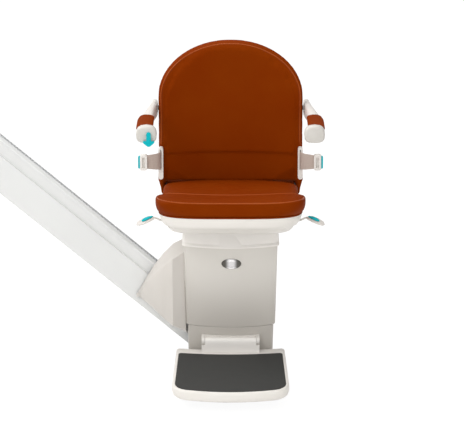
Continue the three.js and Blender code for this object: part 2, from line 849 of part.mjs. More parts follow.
function neck() {
  const half = column_half_width + neck_over;
  const rows = [[-neck_lip, column_top], [-neck_lip, column_top + neck_lip_height - neck_lip_slope],
    [0, column_top + neck_lip_height], [0, neck_top - shell_wall], [shell_wall, neck_top]];
  const outer = stacked(rows.map(([inset, z]) => [column_plan(half, inset, -column_back), z]));
  const inner = stacked([[column_plan(half, shell_wall, overrun - column_back), column_top - overrun],
    [column_plan(half, shell_wall, overrun - column_back), neck_top - shell_wall]]);
  return cut(outer, inner,
    upright(circle(0, swivel_y, ring_radius), neck_top - 2 * shell_wall, neck_top + overrun));
}

add('neck_cover', 'white', neck());

// Side casing: the wedge that closes the drive in against the rail, uphill of the column

const casing_tip = 300;
const casing_gap = 4;
const casing_rear = half_depth + casing_gap;
const casing_depth = 140;
const casing_start_depth = 116;
const casing_tip_depth = 8;
const casing_low = 189;
const casing_top_drop = 22;
const casing_rise = column_top - casing_top_drop - casing_low;
const casing_roof_power = 1.6;
const casing_plan_powers = [2.3, 1.3];
const casing_rail_cover = 21;
const casing_lift = 42;
const casing_lift_power = 0.45;
const casing_edge = 10;
const casing_roof_fall = 2;
const casing_steps = 7;
const casing_end_share = 0.985;
const casing_edge_share = 0.4;

// The wedge thins out towards its tip: share runs from 0 at the column to 1 at the tip

function casing_sections(inset) {
  const rings = [];
  const start = column_half_width + fit;
  const run = casing_tip - start;
  for (let i = 0; i <= casing_steps; i++) {
    const share = casing_end_share * Math.sin(i / casing_steps * Math.PI / 2);
    const x = -(start + run * share) + (i === 0 ? 0 : Math.min(inset, run * share / 4));
    const [along_power, across_power] = casing_plan_powers;
    const full = casing_tip_depth + (casing_depth - casing_tip_depth) * (1 - share ** along_power) ** across_power;
    const depth = i === 0 ? casing_start_depth : full;
    const edge = Math.min(casing_edge, depth * casing_edge_share);
    const rear = -casing_rear + (inset ? overrun : 0);
    const front = -(casing_rear + depth) + inset;
    const roof = casing_low + casing_rise * (1 - share ** casing_roof_power) - inset;
    const floor = rail_line_z(x, casing_rail_cover + 2 * fit) + inset;
    const front_floor = rail_line_z(x, casing_rail_cover + casing_lift * (1 - share) ** casing_lift_power) + inset;
    rings.push([at(rear, roof), at(front + edge, roof - casing_roof_fall),
      at(front + edge * 0.3, roof - edge * 0.5), at(front, roof - edge * 1.4), at(front, front_floor + edge * 0.6),
      at(front + edge * 0.6, front_floor), at((rear + front) / 2, (floor + front_floor) / 2), at(rear, floor)]
      .map((point) => new THREE.Vector3(i === 0 ? -column_half(point.y) - fit : x, point.x, point.y)));
  }
  return rings;
}

function side_casing() {
  const hollow = casing_sections(shell_wall);
  for (const point of hollow[0]) point.x += overrun;
  return cut(skin(casing_sections(0)), skin(hollow.slice(0, -1)));
}

add('side_casing', 'grey_white', side_casing());

// Swivel bearing: a fixed ring with detent holes and the post the turntable runs on

const post_rise = 14;
const post_top = neck_top + post_rise;
const detent_play = 0.8;
const swivel_stops = [-75, 0, 75].map(THREE.MathUtils.degToRad);

function swivel_ring() {
  const ring = upright(circle(0, swivel_y, ring_radius, 28), ring_bottom, ring_bottom + ring_thickness);
  const post = upright(circle(0, swivel_y, swivel_post_radius), ring_bottom, post_top);
  const holes = swivel_stops.map((turn) => upright(circle(detent_radius * Math.cos(turn),
    swivel_y + detent_radius * Math.sin(turn), plunger_radius + detent_play, 10),
    ring_bottom - overrun, ring_bottom + ring_thickness + overrun));
  return cut(joined(ring, post), ...holes);
}

add('swivel_ring', 'steel', swivel_ring());

const hub_bottom = ring_bottom + ring_thickness + fit;
const hub_edge = 1;
const hub_top = base_plate_bottom - fit;

add('turntable_hub', 'steel', closed(turned_ring(swivel_post_radius + fit, turntable_radius, hub_top - hub_bottom,
  hub_edge)).rotateX(Math.PI / 2)).position.set(0, swivel_y, (hub_bottom + hub_top) / 2);

// Back frame: base plate on the turntable, rear wall, seat lugs, uprights and arm bar

const shell_standoff = 6.5;
const rear_wall = back_front + back_cushion_thickness + back_shell_thickness + shell_standoff;
const lug_room = 1;
const lug_outer = wing_inner - lug_room;
const lug_plate = 4;
const base_half = 105;
const base_front = 200;
const base_corner = 20;
const wall_corner = 8;
const upright_inner = 92;
const upright_outer = 122;
const upright_rise = 280;
const upright_top = seat_height + upright_rise;
const lug_radius = 12;
const lug_root = 30;
const stud_radius = 5;
const ear_gap = 0.5;
const weld = 1;
const pad_rises = [92, 256];
const pad_radius = 11;
const bar_half = 14;
const bar_thickness = 9;
const arm_stud_inner = 8.5;
const arm_stud_outer = 17;
const arm_stud_start = arm_inner - arm_stud_inner;
const arm_stud_end = arm_inner + arm_stud_outer;
const arm_pivot_y = leaned(rear_wall, arm_pivot_z) + frame_plate;

function leaned(y, z) {
  return y + back_lean * (z - back_foot);
}

// A bar or plate across, on either side of the middle

function both_sides(outline, inner, outer) {
  return [crosswise(outline, inner, outer), crosswise(outline, -outer, -inner)];
}

function back_frame() {
  const floor = base_plate_bottom + frame_plate;
  const top_lean = leaned(0, upright_top);
  const base = upright(rounded(-base_half, base_half, -base_front, rear_wall + frame_plate, base_corner),
    base_plate_bottom, floor, [circle(0, swivel_y, swivel_post_radius + fit),
      circle(detent_radius, swivel_y, plunger_radius + fit, 12)]);
  const wall = lengthwise(rounded(-lug_outer, lug_outer, base_plate_bottom, seat_hinge_z + lug_radius, wall_corner),
    rear_wall, rear_wall + frame_plate);
  const lug = [...arc(seat_hinge_y, seat_hinge_z, lug_radius, 3, 1, 6),
    at(rear_wall + frame_plate / 2, seat_hinge_z + lug_radius),
    at(rear_wall + frame_plate / 2, seat_hinge_z - 2 * lug_radius), at(rear_wall - lug_root, seat_hinge_z - lug_radius)];
  const post = [at(rear_wall, floor - weld), at(rear_wall + top_lean, upright_top),
    at(rear_wall + top_lean + frame_plate, upright_top), at(rear_wall + frame_plate, floor - weld)];
  const bar_low = leaned(rear_wall, arm_pivot_z - bar_half) + weld;
  const bar_high = leaned(rear_wall, arm_pivot_z + bar_half) + weld;
  const bar = [at(bar_low, arm_pivot_z - bar_half), at(bar_high, arm_pivot_z + bar_half),
    at(bar_high + bar_thickness, arm_pivot_z + bar_half), at(bar_low + bar_thickness, arm_pivot_z - bar_half)];
  const parts = [base, wall, ...both_sides(lug, lug_outer - lug_plate, lug_outer),
    ...both_sides(circle(seat_hinge_y, seat_hinge_z, stud_radius, 14),
      lug_outer - 2 * lug_plate - ear_gap, lug_outer - weld),
    ...both_sides(post, upright_inner, upright_outer),
    ...both_sides(circle(arm_pivot_y, arm_pivot_z, arm_pivot_radius), arm_stud_start, arm_stud_end),
    crosswise(bar, -back_half_width, back_half_width)];
  for (const z of pad_rises.map((rise) => back_foot + rise)) {
    const reach = rear_wall + top_lean * (z - floor) / (upright_top - floor) - leaned(0, z);
    for (const side of [-1, 1]) {
      const x = side * (upright_inner + upright_outer) / 2;
      const start = back_surface(x, back_foot, back_cushion_thickness + shell_gap + back_shell_thickness + fit);
      parts.push(lean_back(closed(lengthwise(circle(x, z, pad_radius), start, reach + frame_plate / 2))));
    }
  }
  return joined(...parts);
}

add('back_frame', 'black_steel', back_frame());

// Seat base housing: the lower white tier, a skirt that turns with the seat

const housing_bottom = base_plate_bottom + frame_plate + fit;
const housing_rear = 74;
const housing_wall = 4;
const housing_step = 31;
const housing_half_width = seat_half_width - housing_step;
const housing_front = 292;
const housing_fullness = 4.5;
const housing_flare = [[14, 30, 0], [8, 17, 0.16], [3, 7, 0.5], [0, 0, 1]];
const pan_floor_clearance = 0.6;
const lever_step = 27;
const lever_root_x = seat_half_width - lever_step;
const release_y = -165;
const release_rise = 13;
const release_z = base_plate_bottom + release_rise;
const release_rod = 4.5;

function tilt_z(y, drop) {
  return seat_height - (y + seat_front) * Math.tan(seat_tilt) - drop / Math.cos(seat_tilt);
}

// The skirt flares from its foot ring (rise 0) up to the sloping pan (rise 1)

function housing_rings(inset, extra) {
  return housing_flare.map(([side_in, front_in, rise], i) => {
    const middle = (front_in - housing_front - housing_rear) / 2;
    const half_depth_here = (housing_front - front_in - housing_rear) / 2;
    const beyond = i === 0 ? -extra : extra;
    return box_ring(28, housing_half_width - side_in - inset, half_depth_here - inset, housing_fullness, (x, y) => {
      const roof = tilt_z(middle + y, pan_depth + pan_floor_clearance);
      return new THREE.Vector3(x, middle + y, THREE.MathUtils.lerp(housing_bottom, roof, rise) + beyond);
    });
  });
}

function housing() {
  const rod = crosswise(circle(release_y, release_z, release_rod + bore_play, 12), -seat_half_width,
    seat_half_width);
  return cut(skin(housing_rings(0, 0)), skin(housing_rings(housing_wall, overrun)), rod);
}

add('seat_base_housing', 'white', housing());

// Swivel release: a cross rod with a finger under the lock plunger, and a paddle at each end

const finger_reach = 33;
const rod_play = 2;
const finger_sides = [1, 5];
const finger_levels = [5.4, 2.4];

function release_rod_body() {
  const rod = crosswise(circle(release_y, release_z, release_rod, 12), rod_play - lever_root_x,
    lever_root_x - rod_play);
  const [finger_near, finger_far] = finger_sides.map((side) => detent_radius + plunger_radius + side);
  const [finger_low, finger_high] = finger_levels.map((level) => release_z - level);
  const finger = block(finger_near, finger_far, release_y, release_y + finger_reach, finger_low, finger_high);
  return joined(rod, finger);
}

add('release_rod', 'steel', release_rod_body());

const plunger_collar = 9;
const plunger_rise = 0.5;
const plunger_top = 0.8;
const collar_low = 2.1;

function plunger() {
  const pin = upright(circle(0, 0, plunger_radius, 12), ring_bottom + ring_thickness + plunger_rise,
    release_z + plunger_top);
  const collar = upright(circle(0, 0, plunger_collar, 14), release_z - collar_low, release_z + plunger_top);
  return joined(pin, collar);
}

add('lock_plunger', 'steel', plunger()).position.set(detent_radius, swivel_y, 0);

const lever_socket_depth = 13;
const lever_path = [[0, 0, 0, 8, 3.5], [19, -11, 8, 7, 3.2], [30, -23, 18.5, 7, 3], [40, -44, 28, 14, 3],
  [56, -72, 29, 17, 3], [73, -92, 26, 14, 2.6], [81, -101, 23.5, 6, 2]];
const lever_pad_path = [[39, -47, 32.4, 3, 1], [47, -59, 33.3, 7, 1.3], [56, -72, 33.8, 8, 1.4],
  [64, -83, 32.4, 6, 1.2], [68, -88, 31.2, 2.6, 0.9]];
const lever_power = 3;
const lever_slant = [0.82, 0.57];

function lever() {
  const place = lever_path.map(([x, y, z]) => [lever_root_x + x, release_y + y, release_z + z]);
  const rings = lever_path.map(([, , , half, thick], i) => {
    const [x, y, z] = place[i];
    const [px, py] = place[Math.max(i - 1, 0)];
    const [nx, ny] = place[Math.min(i + 1, place.length - 1)];
    const along = at(nx - px, ny - py).normalize();
    return box_ring(12, half, thick, lever_power,
      (a, b) => new THREE.Vector3(x + along.y * a, y - along.x * a, z + b));
  });
  const socket = crosswise(circle(release_y, release_z, release_rod + fit, 12), lever_root_x - lever_socket_depth,
    lever_root_x);
  return cut(skin(rings), socket);
}

function lever_pad() {
  const [slant_x, slant_y] = lever_slant;
  return skin(lever_pad_path.map(([x, y, z, half, thick]) => box_ring(12, half, thick, lever_power,
    (a, b) => new THREE.Vector3(lever_root_x + x - slant_x * a, release_y + y - slant_y * a, release_z + z + b))));
}

add('release_lever_right', 'grey_white', lever());
add('release_lever_left', 'grey_white', mirrored(lever()));
add('lever_pad_right', 'teal', lever_pad());
add('lever_pad_left', 'teal', mirrored(lever_pad()));

// Seat: cushion, steel frame and moulded pan, in the tilted frame (u back, v up)

const seat_middle = seat_half_depth;

function seat_ring(inset, v) {
  return box_ring(32, seat_half_width - inset, seat_half_depth - inset, seat_roundness,
    (x, u) => new THREE.Vector3(x, seat_middle + u, v));
}

// Behind its front roll the cushion is narrower, and goes in between the backrest's wings

function cushion_waist(u) {
  return 1 - cushion_waist_share * THREE.MathUtils.smoothstep(u, cushion_roll, cushion_roll + cushion_waist_run);
}

const cushion_stations = [-1, -0.997, -0.975, -0.93, -0.84, -0.7, -0.535, -0.44, 0, 0.45, 0.76, 0.9, 0.97, 0.996, 1];
const cushion_rows = [[0, 17, 3], [0.07, 10, 3.1], [0.22, 4.5, 3.6], [0.45, 1.5, 4.6], [0.78, 0.5, 5.4],
  [0.91, 3, 5.6], [0.99, 10, 5.4]];
const cushion_dome = [[24, 0.3], [52, 0.65], [95, 0.92], [140, 1]];
const cushion_dome_power = 4.6;
const cushion_dome_drop = 0.5;

function cushion_ring(inset, v, power) {
  const half = seat_half_width - inset;
  const run = seat_half_depth - inset;
  const right = cushion_stations.map((share) => {
    const u = seat_middle + run * share;
    return new THREE.Vector3(half * (1 - Math.abs(share) ** power) ** (1 / power) * cushion_waist(u), u, v);
  });
  const left = right.slice(1, -1).reverse().map((point) => new THREE.Vector3(-point.x, point.y, point.z));
  return [...right, ...left];
}

function seat_cushion() {
  const rings = cushion_rows.map(([share, inset, power]) => cushion_ring(inset, cushion_thickness * share, power));
  for (const [inset, share] of cushion_dome) {
    rings.push(cushion_ring(inset, cushion_thickness + cushion_crown * share - cushion_dome_drop, cushion_dome_power));
  }
  return skin(rings);
}

add('seat_cushion', 'leather', seat_cushion(), seat_frame_group);

const pan_rear = 290;
const lock_pocket = [24, 54];
const lock_pocket_length = 42;
const lock_pocket_height = 11;
const seat_plate = 4;
const plate_half = 140;
const ear_half = 11;
const hinge_u = (seat_hinge_y + seat_front) * Math.cos(seat_tilt) - (seat_hinge_z - seat_height) * Math.sin(seat_tilt);
const hinge_v = (seat_hinge_y + seat_front) * Math.sin(seat_tilt) + (seat_hinge_z - seat_height) * Math.cos(seat_tilt);
const ear_outer = lug_outer - lug_plate - ear_gap;

function seat_pan() {
  const rows = [[-0.3, 8], [-4, 7], [-16, 10.5], [-28, 15], [-35, 20], [-pan_depth, 27]];
  const body = skin(rows.map(([v, inset]) => seat_ring(inset, v)));
  const recess = block(-plate_half - fit, plate_half + fit, 40 - fit, pan_rear + overrun, -2 * fit - seat_plate,
    overrun);
  const behind = block(-seat_half_width, seat_half_width, pan_rear, 3 * seat_half_depth, -2 * pan_depth, pan_depth);
  const middle = (swivel_y + seat_front) * Math.cos(seat_tilt) + pan_depth * Math.tan(seat_tilt);
  const pocket = block(...lock_pocket, middle - lock_pocket_length / 2, middle + lock_pocket_length / 2,
    -pan_depth - overrun, lock_pocket_height - pan_depth);
  return cut(body, behind, recess, pocket);
}

add('seat_pan', 'white', seat_pan(), seat_frame_group);

function seat_frame() {
  const plate = upright([at(-plate_half, 40), at(plate_half, 40), at(plate_half, pan_rear + 4),
    at(ear_outer, pan_rear + 4), at(ear_outer, hinge_u + ear_half), at(-ear_outer, hinge_u + ear_half),
    at(-ear_outer, pan_rear + 4), at(-plate_half, pan_rear + 4)], -fit - seat_plate, -fit,
    [rounded(-90, 90, 80, 250, 20)]);
  const ear = [at(hinge_u - ear_half, -fit - seat_plate / 2), at(hinge_u + ear_half, -fit - seat_plate / 2),
    ...arc(hinge_u, hinge_v, ear_half, 0, 2, 6)];
  const hole = circle(hinge_u, hinge_v, stud_radius + bore_play, 14);
  const ears = [-1, 1].map((side) => {
    const [e0, e1] = [side * ear_outer, side * (ear_outer - lug_plate)].sort((p, q) => p - q);
    return crosswise(ear, e0, e1, [hole]);
  });
  return joined(plate, ...ears);
}

add('seat_frame', 'black_steel', seat_frame(), seat_frame_group);

// Backrest: padded front and moulded shell, both wrapping forward at the sides

function back_half(z, inset) {
  const half = back_half_width - inset;
  if (z > back_widest) {
    const rise = (z - back_widest) / (back_top - 2 * inset - back_widest);
    return half * Math.sqrt(Math.max(0, 1 - rise ** 2));
  }
  const share = (back_widest - z) / (back_widest - wing_foot);
  return THREE.MathUtils.lerp(half, back_foot_half_width - inset, share ** back_side_power);
}

const back_low_shares = [0, 0.02, 0.08, 0.3, 0.55, 0.8, 1];
const back_high_shares = [0.2, 0.38, 0.54, 0.68, 0.79, 0.87, 0.93, 0.97];

function back_rows(inset) {
  const low = back_low_shares.map((share) => THREE.MathUtils.lerp(wing_foot, back_widest, share));
  const high = back_high_shares.map((share) => back_widest
    + (back_top - 2 * inset - back_widest) * Math.sin(share * Math.PI / 2));
  return [...low, ...high];
}

function back_surface(x, z, offset) {
  const wrap = back_wrap * Math.min(1, 0.45 + (back_top - z) / 260);
  return leaned(back_front, z) + offset - wrap * Math.abs(x / back_half_width) ** 2.5;
}

const foot_insets = [5, 1.5];
const back_power = 5;
const pad_end_run = 14;
const pad_end_shares = [0.45, 0.55];

// One layer of the backrest: its outline inset, where it starts and how thick it is

function back_layer(inset, start, thickness, fullness) {
  const rings = back_rows(inset).map((z, i) => box_ring(28, back_half(z, inset) - (foot_insets[i] ?? 0),
    thickness / 2 * fullness(z), back_power,
    (x, y) => new THREE.Vector3(x, back_surface(x, z, start + thickness / 2) + y, z)));
  const between = block(-wing_inner, wing_inner, -seat_front, seat_front, 0, back_foot);
  return cut(skin(rings), between);
}

function back_pad() {
  return back_layer(0, 0, back_cushion_thickness, (z) => {
    const from_end = Math.min((z - wing_foot) / pad_end_run, (back_top - z) / pad_end_run);
    return Math.min(1, pad_end_shares[0] + pad_end_shares[1] * Math.sqrt(Math.max(0, from_end)));
  });
}

const belt_rise = 75;
const belt_z = seat_height + belt_rise;
const bezel_width = 15;
const bezel_inner = back_half_width - bezel_width;
const bezel_outer = back_half_width;
const bezel_below = 62;
const bezel_above = 37;
const bezel_corner = 7;
const bezel_low = belt_z - bezel_below;
const bezel_high = belt_z + bezel_above;
const bezel_face = 42;
const bezel_root = 22;

function bezel_block(grow, face, root) {
  const outline = rounded(bezel_inner - grow, bezel_outer + grow, bezel_low - grow,
    bezel_high + grow, bezel_corner + grow);
  return lean_back(closed(lengthwise(outline, back_front - face, back_front - root)));
}

function lean_back(geometry) {
  const place = geometry.attributes.position;
  for (let i = 0; i < place.count; i++) place.setY(i, leaned(place.getY(i), place.getZ(i)));
  return geometry;
}

function backrest_cushion() {
  const pocket = bezel_block(fit, bezel_face + overrun, bezel_root - fit);
  return cut(back_pad(), pocket, mirrored(pocket));
}

add('backrest_cushion', 'leather', backrest_cushion());

function backrest_shell() {
  return back_layer(shell_inset, back_cushion_thickness + shell_gap, back_shell_thickness, () => 1);
}

add('backrest_shell', 'grey_white', backrest_shell());

// Lap belt: a bezel on each wing, webbing, a tongue on one side and a buckle on the other

const belt_half = 26.5;
const webbing_thickness = 1.6;
const webbing_x = (bezel_inner + bezel_outer) / 2;
const belt_slot = 3.4;
const belt_slot_depth = 17;
const belt_slot_margin = 4;
const belt_slot_corner = 1;
const webbing_path = [[0, 13], [0, -4], [3, -12], [14, -20], [45, -28]];
const webbing_reach = 45;
const webbing_taper = [-4, 8];

function bezel() {
  const slot = lean_back(closed(lengthwise(rounded(webbing_x - belt_slot / 2, webbing_x + belt_slot / 2,
    belt_z - belt_half - belt_slot_margin, belt_z + belt_half + belt_slot_margin, belt_slot_corner, 1), back_front - bezel_face - overrun,
    back_front - bezel_face + belt_slot_depth)));
  return cut(bezel_block(0, bezel_face, bezel_root), slot);
}

add('belt_bezel_right', 'white', bezel());
add('belt_bezel_left', 'white', mirrored(bezel()));

function webbing() {
  const centre = webbing_path.map(([x, y]) => at(webbing_x + x, back_front - bezel_face + y));
  const half = webbing_thickness / 2;
  const outer = [];
  const inner = [];
  centre.forEach((point, i) => {
    const before = centre[Math.max(i - 1, 0)];
    const after = centre[Math.min(i + 1, centre.length - 1)];
    const along = after.clone().sub(before).normalize();
    outer.push(at(point.x - along.y * half, point.y + along.x * half));
    inner.unshift(at(point.x + along.y * half, point.y - along.x * half));
  });
  const strap = upright([...outer, ...inner], belt_z - belt_half, belt_z + belt_half);
  const place = strap.attributes.position;
  for (let i = 0; i < place.count; i++) {
    const share = Math.max(0, (place.getX(i) - webbing_x) / webbing_reach);
    const [above, below] = webbing_taper;
    place.setZ(i, place.getZ(i) + share * (place.getZ(i) > belt_z ? above : below));
  }
  return lean_back(closed(strap));
}

const buckle_reach = 28.5;
const buckle_out = 41;
const buckle_length = 22;
const buckle_y = back_front - bezel_face - buckle_reach;
const buckle_start = webbing_x + buckle_out;
const buckle_end = buckle_start + buckle_length;
const buckle_half = 23.5;
const buckle_rise = 2;
const buckle_corner = 5;
const buckle_depth = 18;
const buckle_z = belt_z + buckle_rise;
const buckle_slot_width = 9;
const buckle_slot_inset = 16;
const buckle_slot_half = 16;
const buckle_entry = { length: 4.5, front: 4.5, back: 6 };

function buckle_body() {
  const body = lengthwise(rounded(buckle_start, buckle_end, buckle_z - buckle_half, buckle_z + buckle_half,
    buckle_corner), buckle_y - buckle_depth / 2, buckle_y + buckle_depth / 2);
  const entry = block(buckle_start - overrun, buckle_start + buckle_entry.length,
    buckle_y - buckle_entry.front, buckle_y + buckle_entry.back,
    buckle_z - buckle_half - overrun, buckle_z + buckle_half + overrun);
  const slot = block(buckle_end - buckle_slot_inset, buckle_end - buckle_slot_inset + buckle_slot_width,
    buckle_y - buckle_depth, buckle_y, buckle_z - buckle_slot_half, buckle_z + buckle_slot_half);
  return lean_back(cut(body, entry, slot));
}

add('belt_webbing_left', 'webbing', mirrored(webbing()));
add('belt_webbing_right', 'webbing', webbing());

const tip_depth = 6;
const tip_half = 18.5;
const tip_wall = 3;
const tip_corner = 2.9;
const tip_pocket = 5;
const tip_pocket_corner = 2;
const tip_sunk = 4.7;
const button_sunk = 1;

function buckle_tip(sunk) {
  return lean_back(closed(lengthwise(rounded(buckle_end - sunk, buckle_end + tip_depth, buckle_z - tip_half,
    buckle_z + tip_half, tip_corner), buckle_y - buckle_depth / 2 + tip_wall,
    buckle_y + buckle_depth / 2 - tip_wall)));
}

function buckle() {
  const pocket = lean_back(closed(lengthwise(rounded(buckle_end - tip_pocket, buckle_end + overrun,
    buckle_z - tip_half - fit, buckle_z + tip_half + fit, tip_pocket_corner), buckle_y - buckle_depth / 2 + tip_wall
    - fit, buckle_y + buckle_depth / 2 - tip_wall + fit)));
  return cut(buckle_body(), pocket);
}

add('belt_buckle', 'white', buckle());
add('belt_tongue', 'white', mirrored(buckle()));
add('buckle_button', 'teal', buckle_tip(button_sunk));
add('tongue_tip', 'teal', mirrored(buckle_tip(tip_sunk)));

// Arms: curved mouldings that swing up, each with a padded top and a white end cap

const arm_pad_start = -152;
const arm_pad_end = -288;
const arm_nose = -290;
const cap_front = -317;
const arm_root = [[20, 11.5, -2, 8.5, 20], [8, 10.5, 0, 10, 26], [-12, 10.5, 1, 10.5, 27]];
const arm_path = [[50, 12, 7, 11, 27], [0, 14.5, 15, 12, 25], [-60, 18.5, 24, 14, 22], [-110, 23.5, 29.5, 17, 18],
  [-138, 25.5, 31, 19, 12], [-150.5, 27.5, 30.5, 20, 9.4], [-220, 28, 30.5, 20, 9], [arm_nose, 28, 30.5, 20, 9]];
const arm_power = 3.2;

function arm_body() {
  const stations = [...arm_root.map(([y, ...rest]) => [arm_pivot_y + y, ...rest]), ...arm_path];
  const rings = stations.map(([y, x, z, half_x, half_z]) => box_ring(16, half_x, half_z, arm_power,
    (a, b) => new THREE.Vector3(arm_inner + x + a, y, arm_pivot_z + z + b)));
  const bore = crosswise(circle(arm_pivot_y, arm_pivot_z, arm_pivot_radius + bore_play), arm_inner - 2 * overrun,
    arm_stud_end + fit);
  return cut(skin(rings), bore);
}

const arm_pad_out = 27;
const arm_pad_x = arm_inner + arm_pad_out;
const arm_pad_half = 25;
const arm_pad_rise = 40;
const arm_pad_tall = 8;

const arm_pad_ends = [4, 14, 53, 98];
const arm_pad_tip = [10, 3];
const arm_pad_power = 2.6;

function arm_pad() {
  const [start_a, start_b, middle_a, middle_b] = arm_pad_ends.map((run) => arm_pad_start - run);
  const [tip_a, tip_b] = arm_pad_tip.map((run) => arm_pad_end + run);
  const stations = [[arm_pad_start, 0.35, 0.55], [start_a, 0.75, 0.85], [start_b, 1, 1], [middle_a, 1, 1.06],
    [middle_b, 1, 1.03], [tip_a, 1, 1], [tip_b, 0.85, 0.9], [arm_pad_end, 0.6, 0.65]];
  const rings = stations.map(([y, wide, tall]) => box_ring(16, arm_pad_half * wide, arm_pad_tall * tall, arm_pad_power,
    (a, b) => new THREE.Vector3(arm_pad_x + a, y, arm_pivot_z + arm_pad_rise + fit + arm_pad_tall * tall + b)));
  return skin(rings);
}

const cap_out = 20.5;
const cap_x = arm_inner + cap_out;
const cap_rise = 38;
const cap_peak = 3.5;

const cap_rings = [[0, 28, 22], [5.7, 30.5, 25], [18.7, 30.5, 25], [24.7, 28, 22.5], [26.7, 24, 19]];
const cap_power = 3;

function arm_cap() {
  const rings = cap_rings.map(([run, half_x, half_z]) => box_ring(16, half_x, half_z, cap_power,
    (a, b) => new THREE.Vector3(cap_x + a, arm_nose - fit - run, arm_pivot_z + cap_rise + b
      + (b > 0 ? cap_peak * (1 - (a / half_x) ** 2) : 0))));
  return skin(rings);
}

for (const [word, flip] of [['right', (piece) => piece], ['left', mirrored]]) {
  add('arm_' + word, 'grey_white', flip(arm_body()));
  add('arm_pad_' + word, 'leather', flip(arm_pad()));
  add('arm_cap_' + word, 'white', flip(arm_cap()));
}

// Direction toggle: an arrow-shaped paddle that hangs from the left arm's cap

const toggle_out = 13.5;
const toggle_x = -(arm_inner + toggle_out);
const toggle_rise = 42;
const toggle_pivot_z = arm_pivot_z + toggle_rise;
const toggle_thickness = 6;
const toggle_gap = 4;
const spindle_radius = 4;
const toggle_half = [[0, 8.5], [4.5, 7], [6.5, 3], [6.8, -19], [13, -18.5], [16.5, -20], [17, -22.5], [14, -26],
  [4.5, -34], [0, -35.5]];

function toggle() {
  const right = toggle_half.map(([x, z]) => at(x, z));
  const left = toggle_half.slice(1, -1).reverse().map(([x, z]) => at(-x, z));
  return lengthwise([...right, ...left].reverse(), cap_front - fit - toggle_gap - toggle_thickness,
    cap_front - fit - toggle_gap);
}

function toggle_with_spindle() {
  return joined(toggle(), lengthwise(circle(0, 0, spindle_radius, 12), cap_front - fit - toggle_gap - weld,
    cap_front - fit));
}

add('direction_toggle', 'teal', toggle_with_spindle()).position.set(toggle_x, 0, toggle_pivot_z);

// Footrest hinge: a fixed bracket with the pin, and the leaf that turns on it

const bracket_half = 90;
const bracket_lug = 10;
const knuckle_radius = 11;
const bracket_front = column_front + fit;

function foot_bracket() {
  const lugs = [-1, 1].map((side) => {
    const [x0, x1] = [side * bracket_half, side * (bracket_half - bracket_lug)].sort((p, q) => p - q);
    return crosswise([...arc(foot_hinge_y, foot_hinge_z, knuckle_radius, 3, 1, 6),
      at(-column_front + column_bow, foot_hinge_z + knuckle_radius),
      at(-column_front + column_bow, foot_hinge_z - knuckle_radius)], x0, x1);
  });
  const bow = stacked([0, column_foot].map((z) => [column_plan(column_half(Math.max(z, lower_cover_foot))
    - lower_cover_narrowing, -fit, -column_back), z]));
  const pin = crosswise(circle(foot_hinge_y, foot_hinge_z, foot_hinge_pin, 12), 1 - bracket_half,
    bracket_half - 1);
  const back = block(-bracket_half, bracket_half, foot_hinge_y + knuckle_radius + bore_play,
    -column_front + column_bow, foot_hinge_z - knuckle_radius, foot_hinge_z + knuckle_radius);
  return cut(joined(...lugs, back, pin), bow);
}

add('footrest_bracket', 'white', foot_bracket());

const leaf_thickness = 7;

function foot_leaf() {
  const half = bracket_half - bracket_lug - 2 * fit;
  const front = foot_hinge_y - knuckle_radius;
  const outline = [...arc(foot_hinge_y, foot_hinge_z, knuckle_radius, -0.5, 2, 8),
    at(front, footplate_top + fit), at(front + leaf_thickness, footplate_top + fit),
    at(front + leaf_thickness, foot_hinge_z - knuckle_radius)];
  const knuckle = crosswise(outline, -half, half,
    [circle(foot_hinge_y, foot_hinge_z, foot_hinge_pin + bore_play, 12)]);
  return joined(knuckle, block(-bracket_half, bracket_half, front, front + leaf_thickness, footplate_top + fit,
    foot_hinge_z - knuckle_radius - 2 * fit));
}

add('footrest_hinge_leaf', 'white', foot_leaf());

// Footplate: a moulded tray with a bowed front, a recess for the mat and a pocket beneath

function footplate_plan(inset, rear = footplate_rear + inset) {
  const half = footplate_front_half_width - inset;
  const front = footplate_front - footplate_bow - inset;
  const corner = footplate_corner - inset;
  const rear_corner = footplate_rear_corner;
  const edge = (reach, y) => {
    const points = [];
    for (let i = 0; i <= bow_steps; i++) points.push(at(reach * (2 * i / bow_steps - 1), y));
    return points;
  };
  const flat = [...arc(corner - half, corner - front, corner, 2, 3, 4).slice(0, -1), ...edge(half - corner, -front),
    ...arc(half - corner, corner - front, corner, 3, 4, 4).slice(1),
    ...arc(half - rear_corner, -rear - rear_corner, rear_corner, 0, 1),
    ...edge(rear_corner - half, -rear).slice(1, -1),
    ...arc(rear_corner - half, -rear - rear_corner, rear_corner, 1, 2)];
  return flat.map(({ x, y }) => {
    const forward = (-y - rear) / (front - rear);
    const bow = THREE.MathUtils.lerp(footplate_rear_bow, footplate_bow, forward);
    const width = THREE.MathUtils.lerp(footplate_rear_half_width, footplate_front_half_width,
      (-y - footplate_rear) / (footplate_front - footplate_rear));
    return at(x * width / footplate_front_half_width, y - bow * (1 - (x / half) ** 2));
  });
}

const mat_rear = 214;
const mat_inset = 10;
const mat_sink = 2;
const mat_thickness = 3.4;
const mat_edge = 1.2;
const footplate_bottom = footplate_top - footplate_thickness;
const pocket_inset = 14;
const pocket_depth = 9;

function footplate() {
  const rows = [[footplate_bottom, 9], [footplate_bottom + 5, 3], [footplate_bottom + 14, 0], [footplate_top - 7, 0],
    [footplate_top - 2, 2], [footplate_top, 5]];
  const body = stacked(rows.map(([z, inset]) => [footplate_plan(inset), z]));
  const recess = stacked([[footplate_plan(mat_inset - fit, mat_rear - fit), footplate_top - mat_sink],
    [footplate_plan(mat_inset - fit, mat_rear - fit), footplate_top + overrun]]);
  const pocket = stacked([[footplate_plan(pocket_inset), footplate_bottom - overrun],
    [footplate_plan(pocket_inset), footplate_bottom + pocket_depth]]);
  return cut(body, recess, pocket);
}

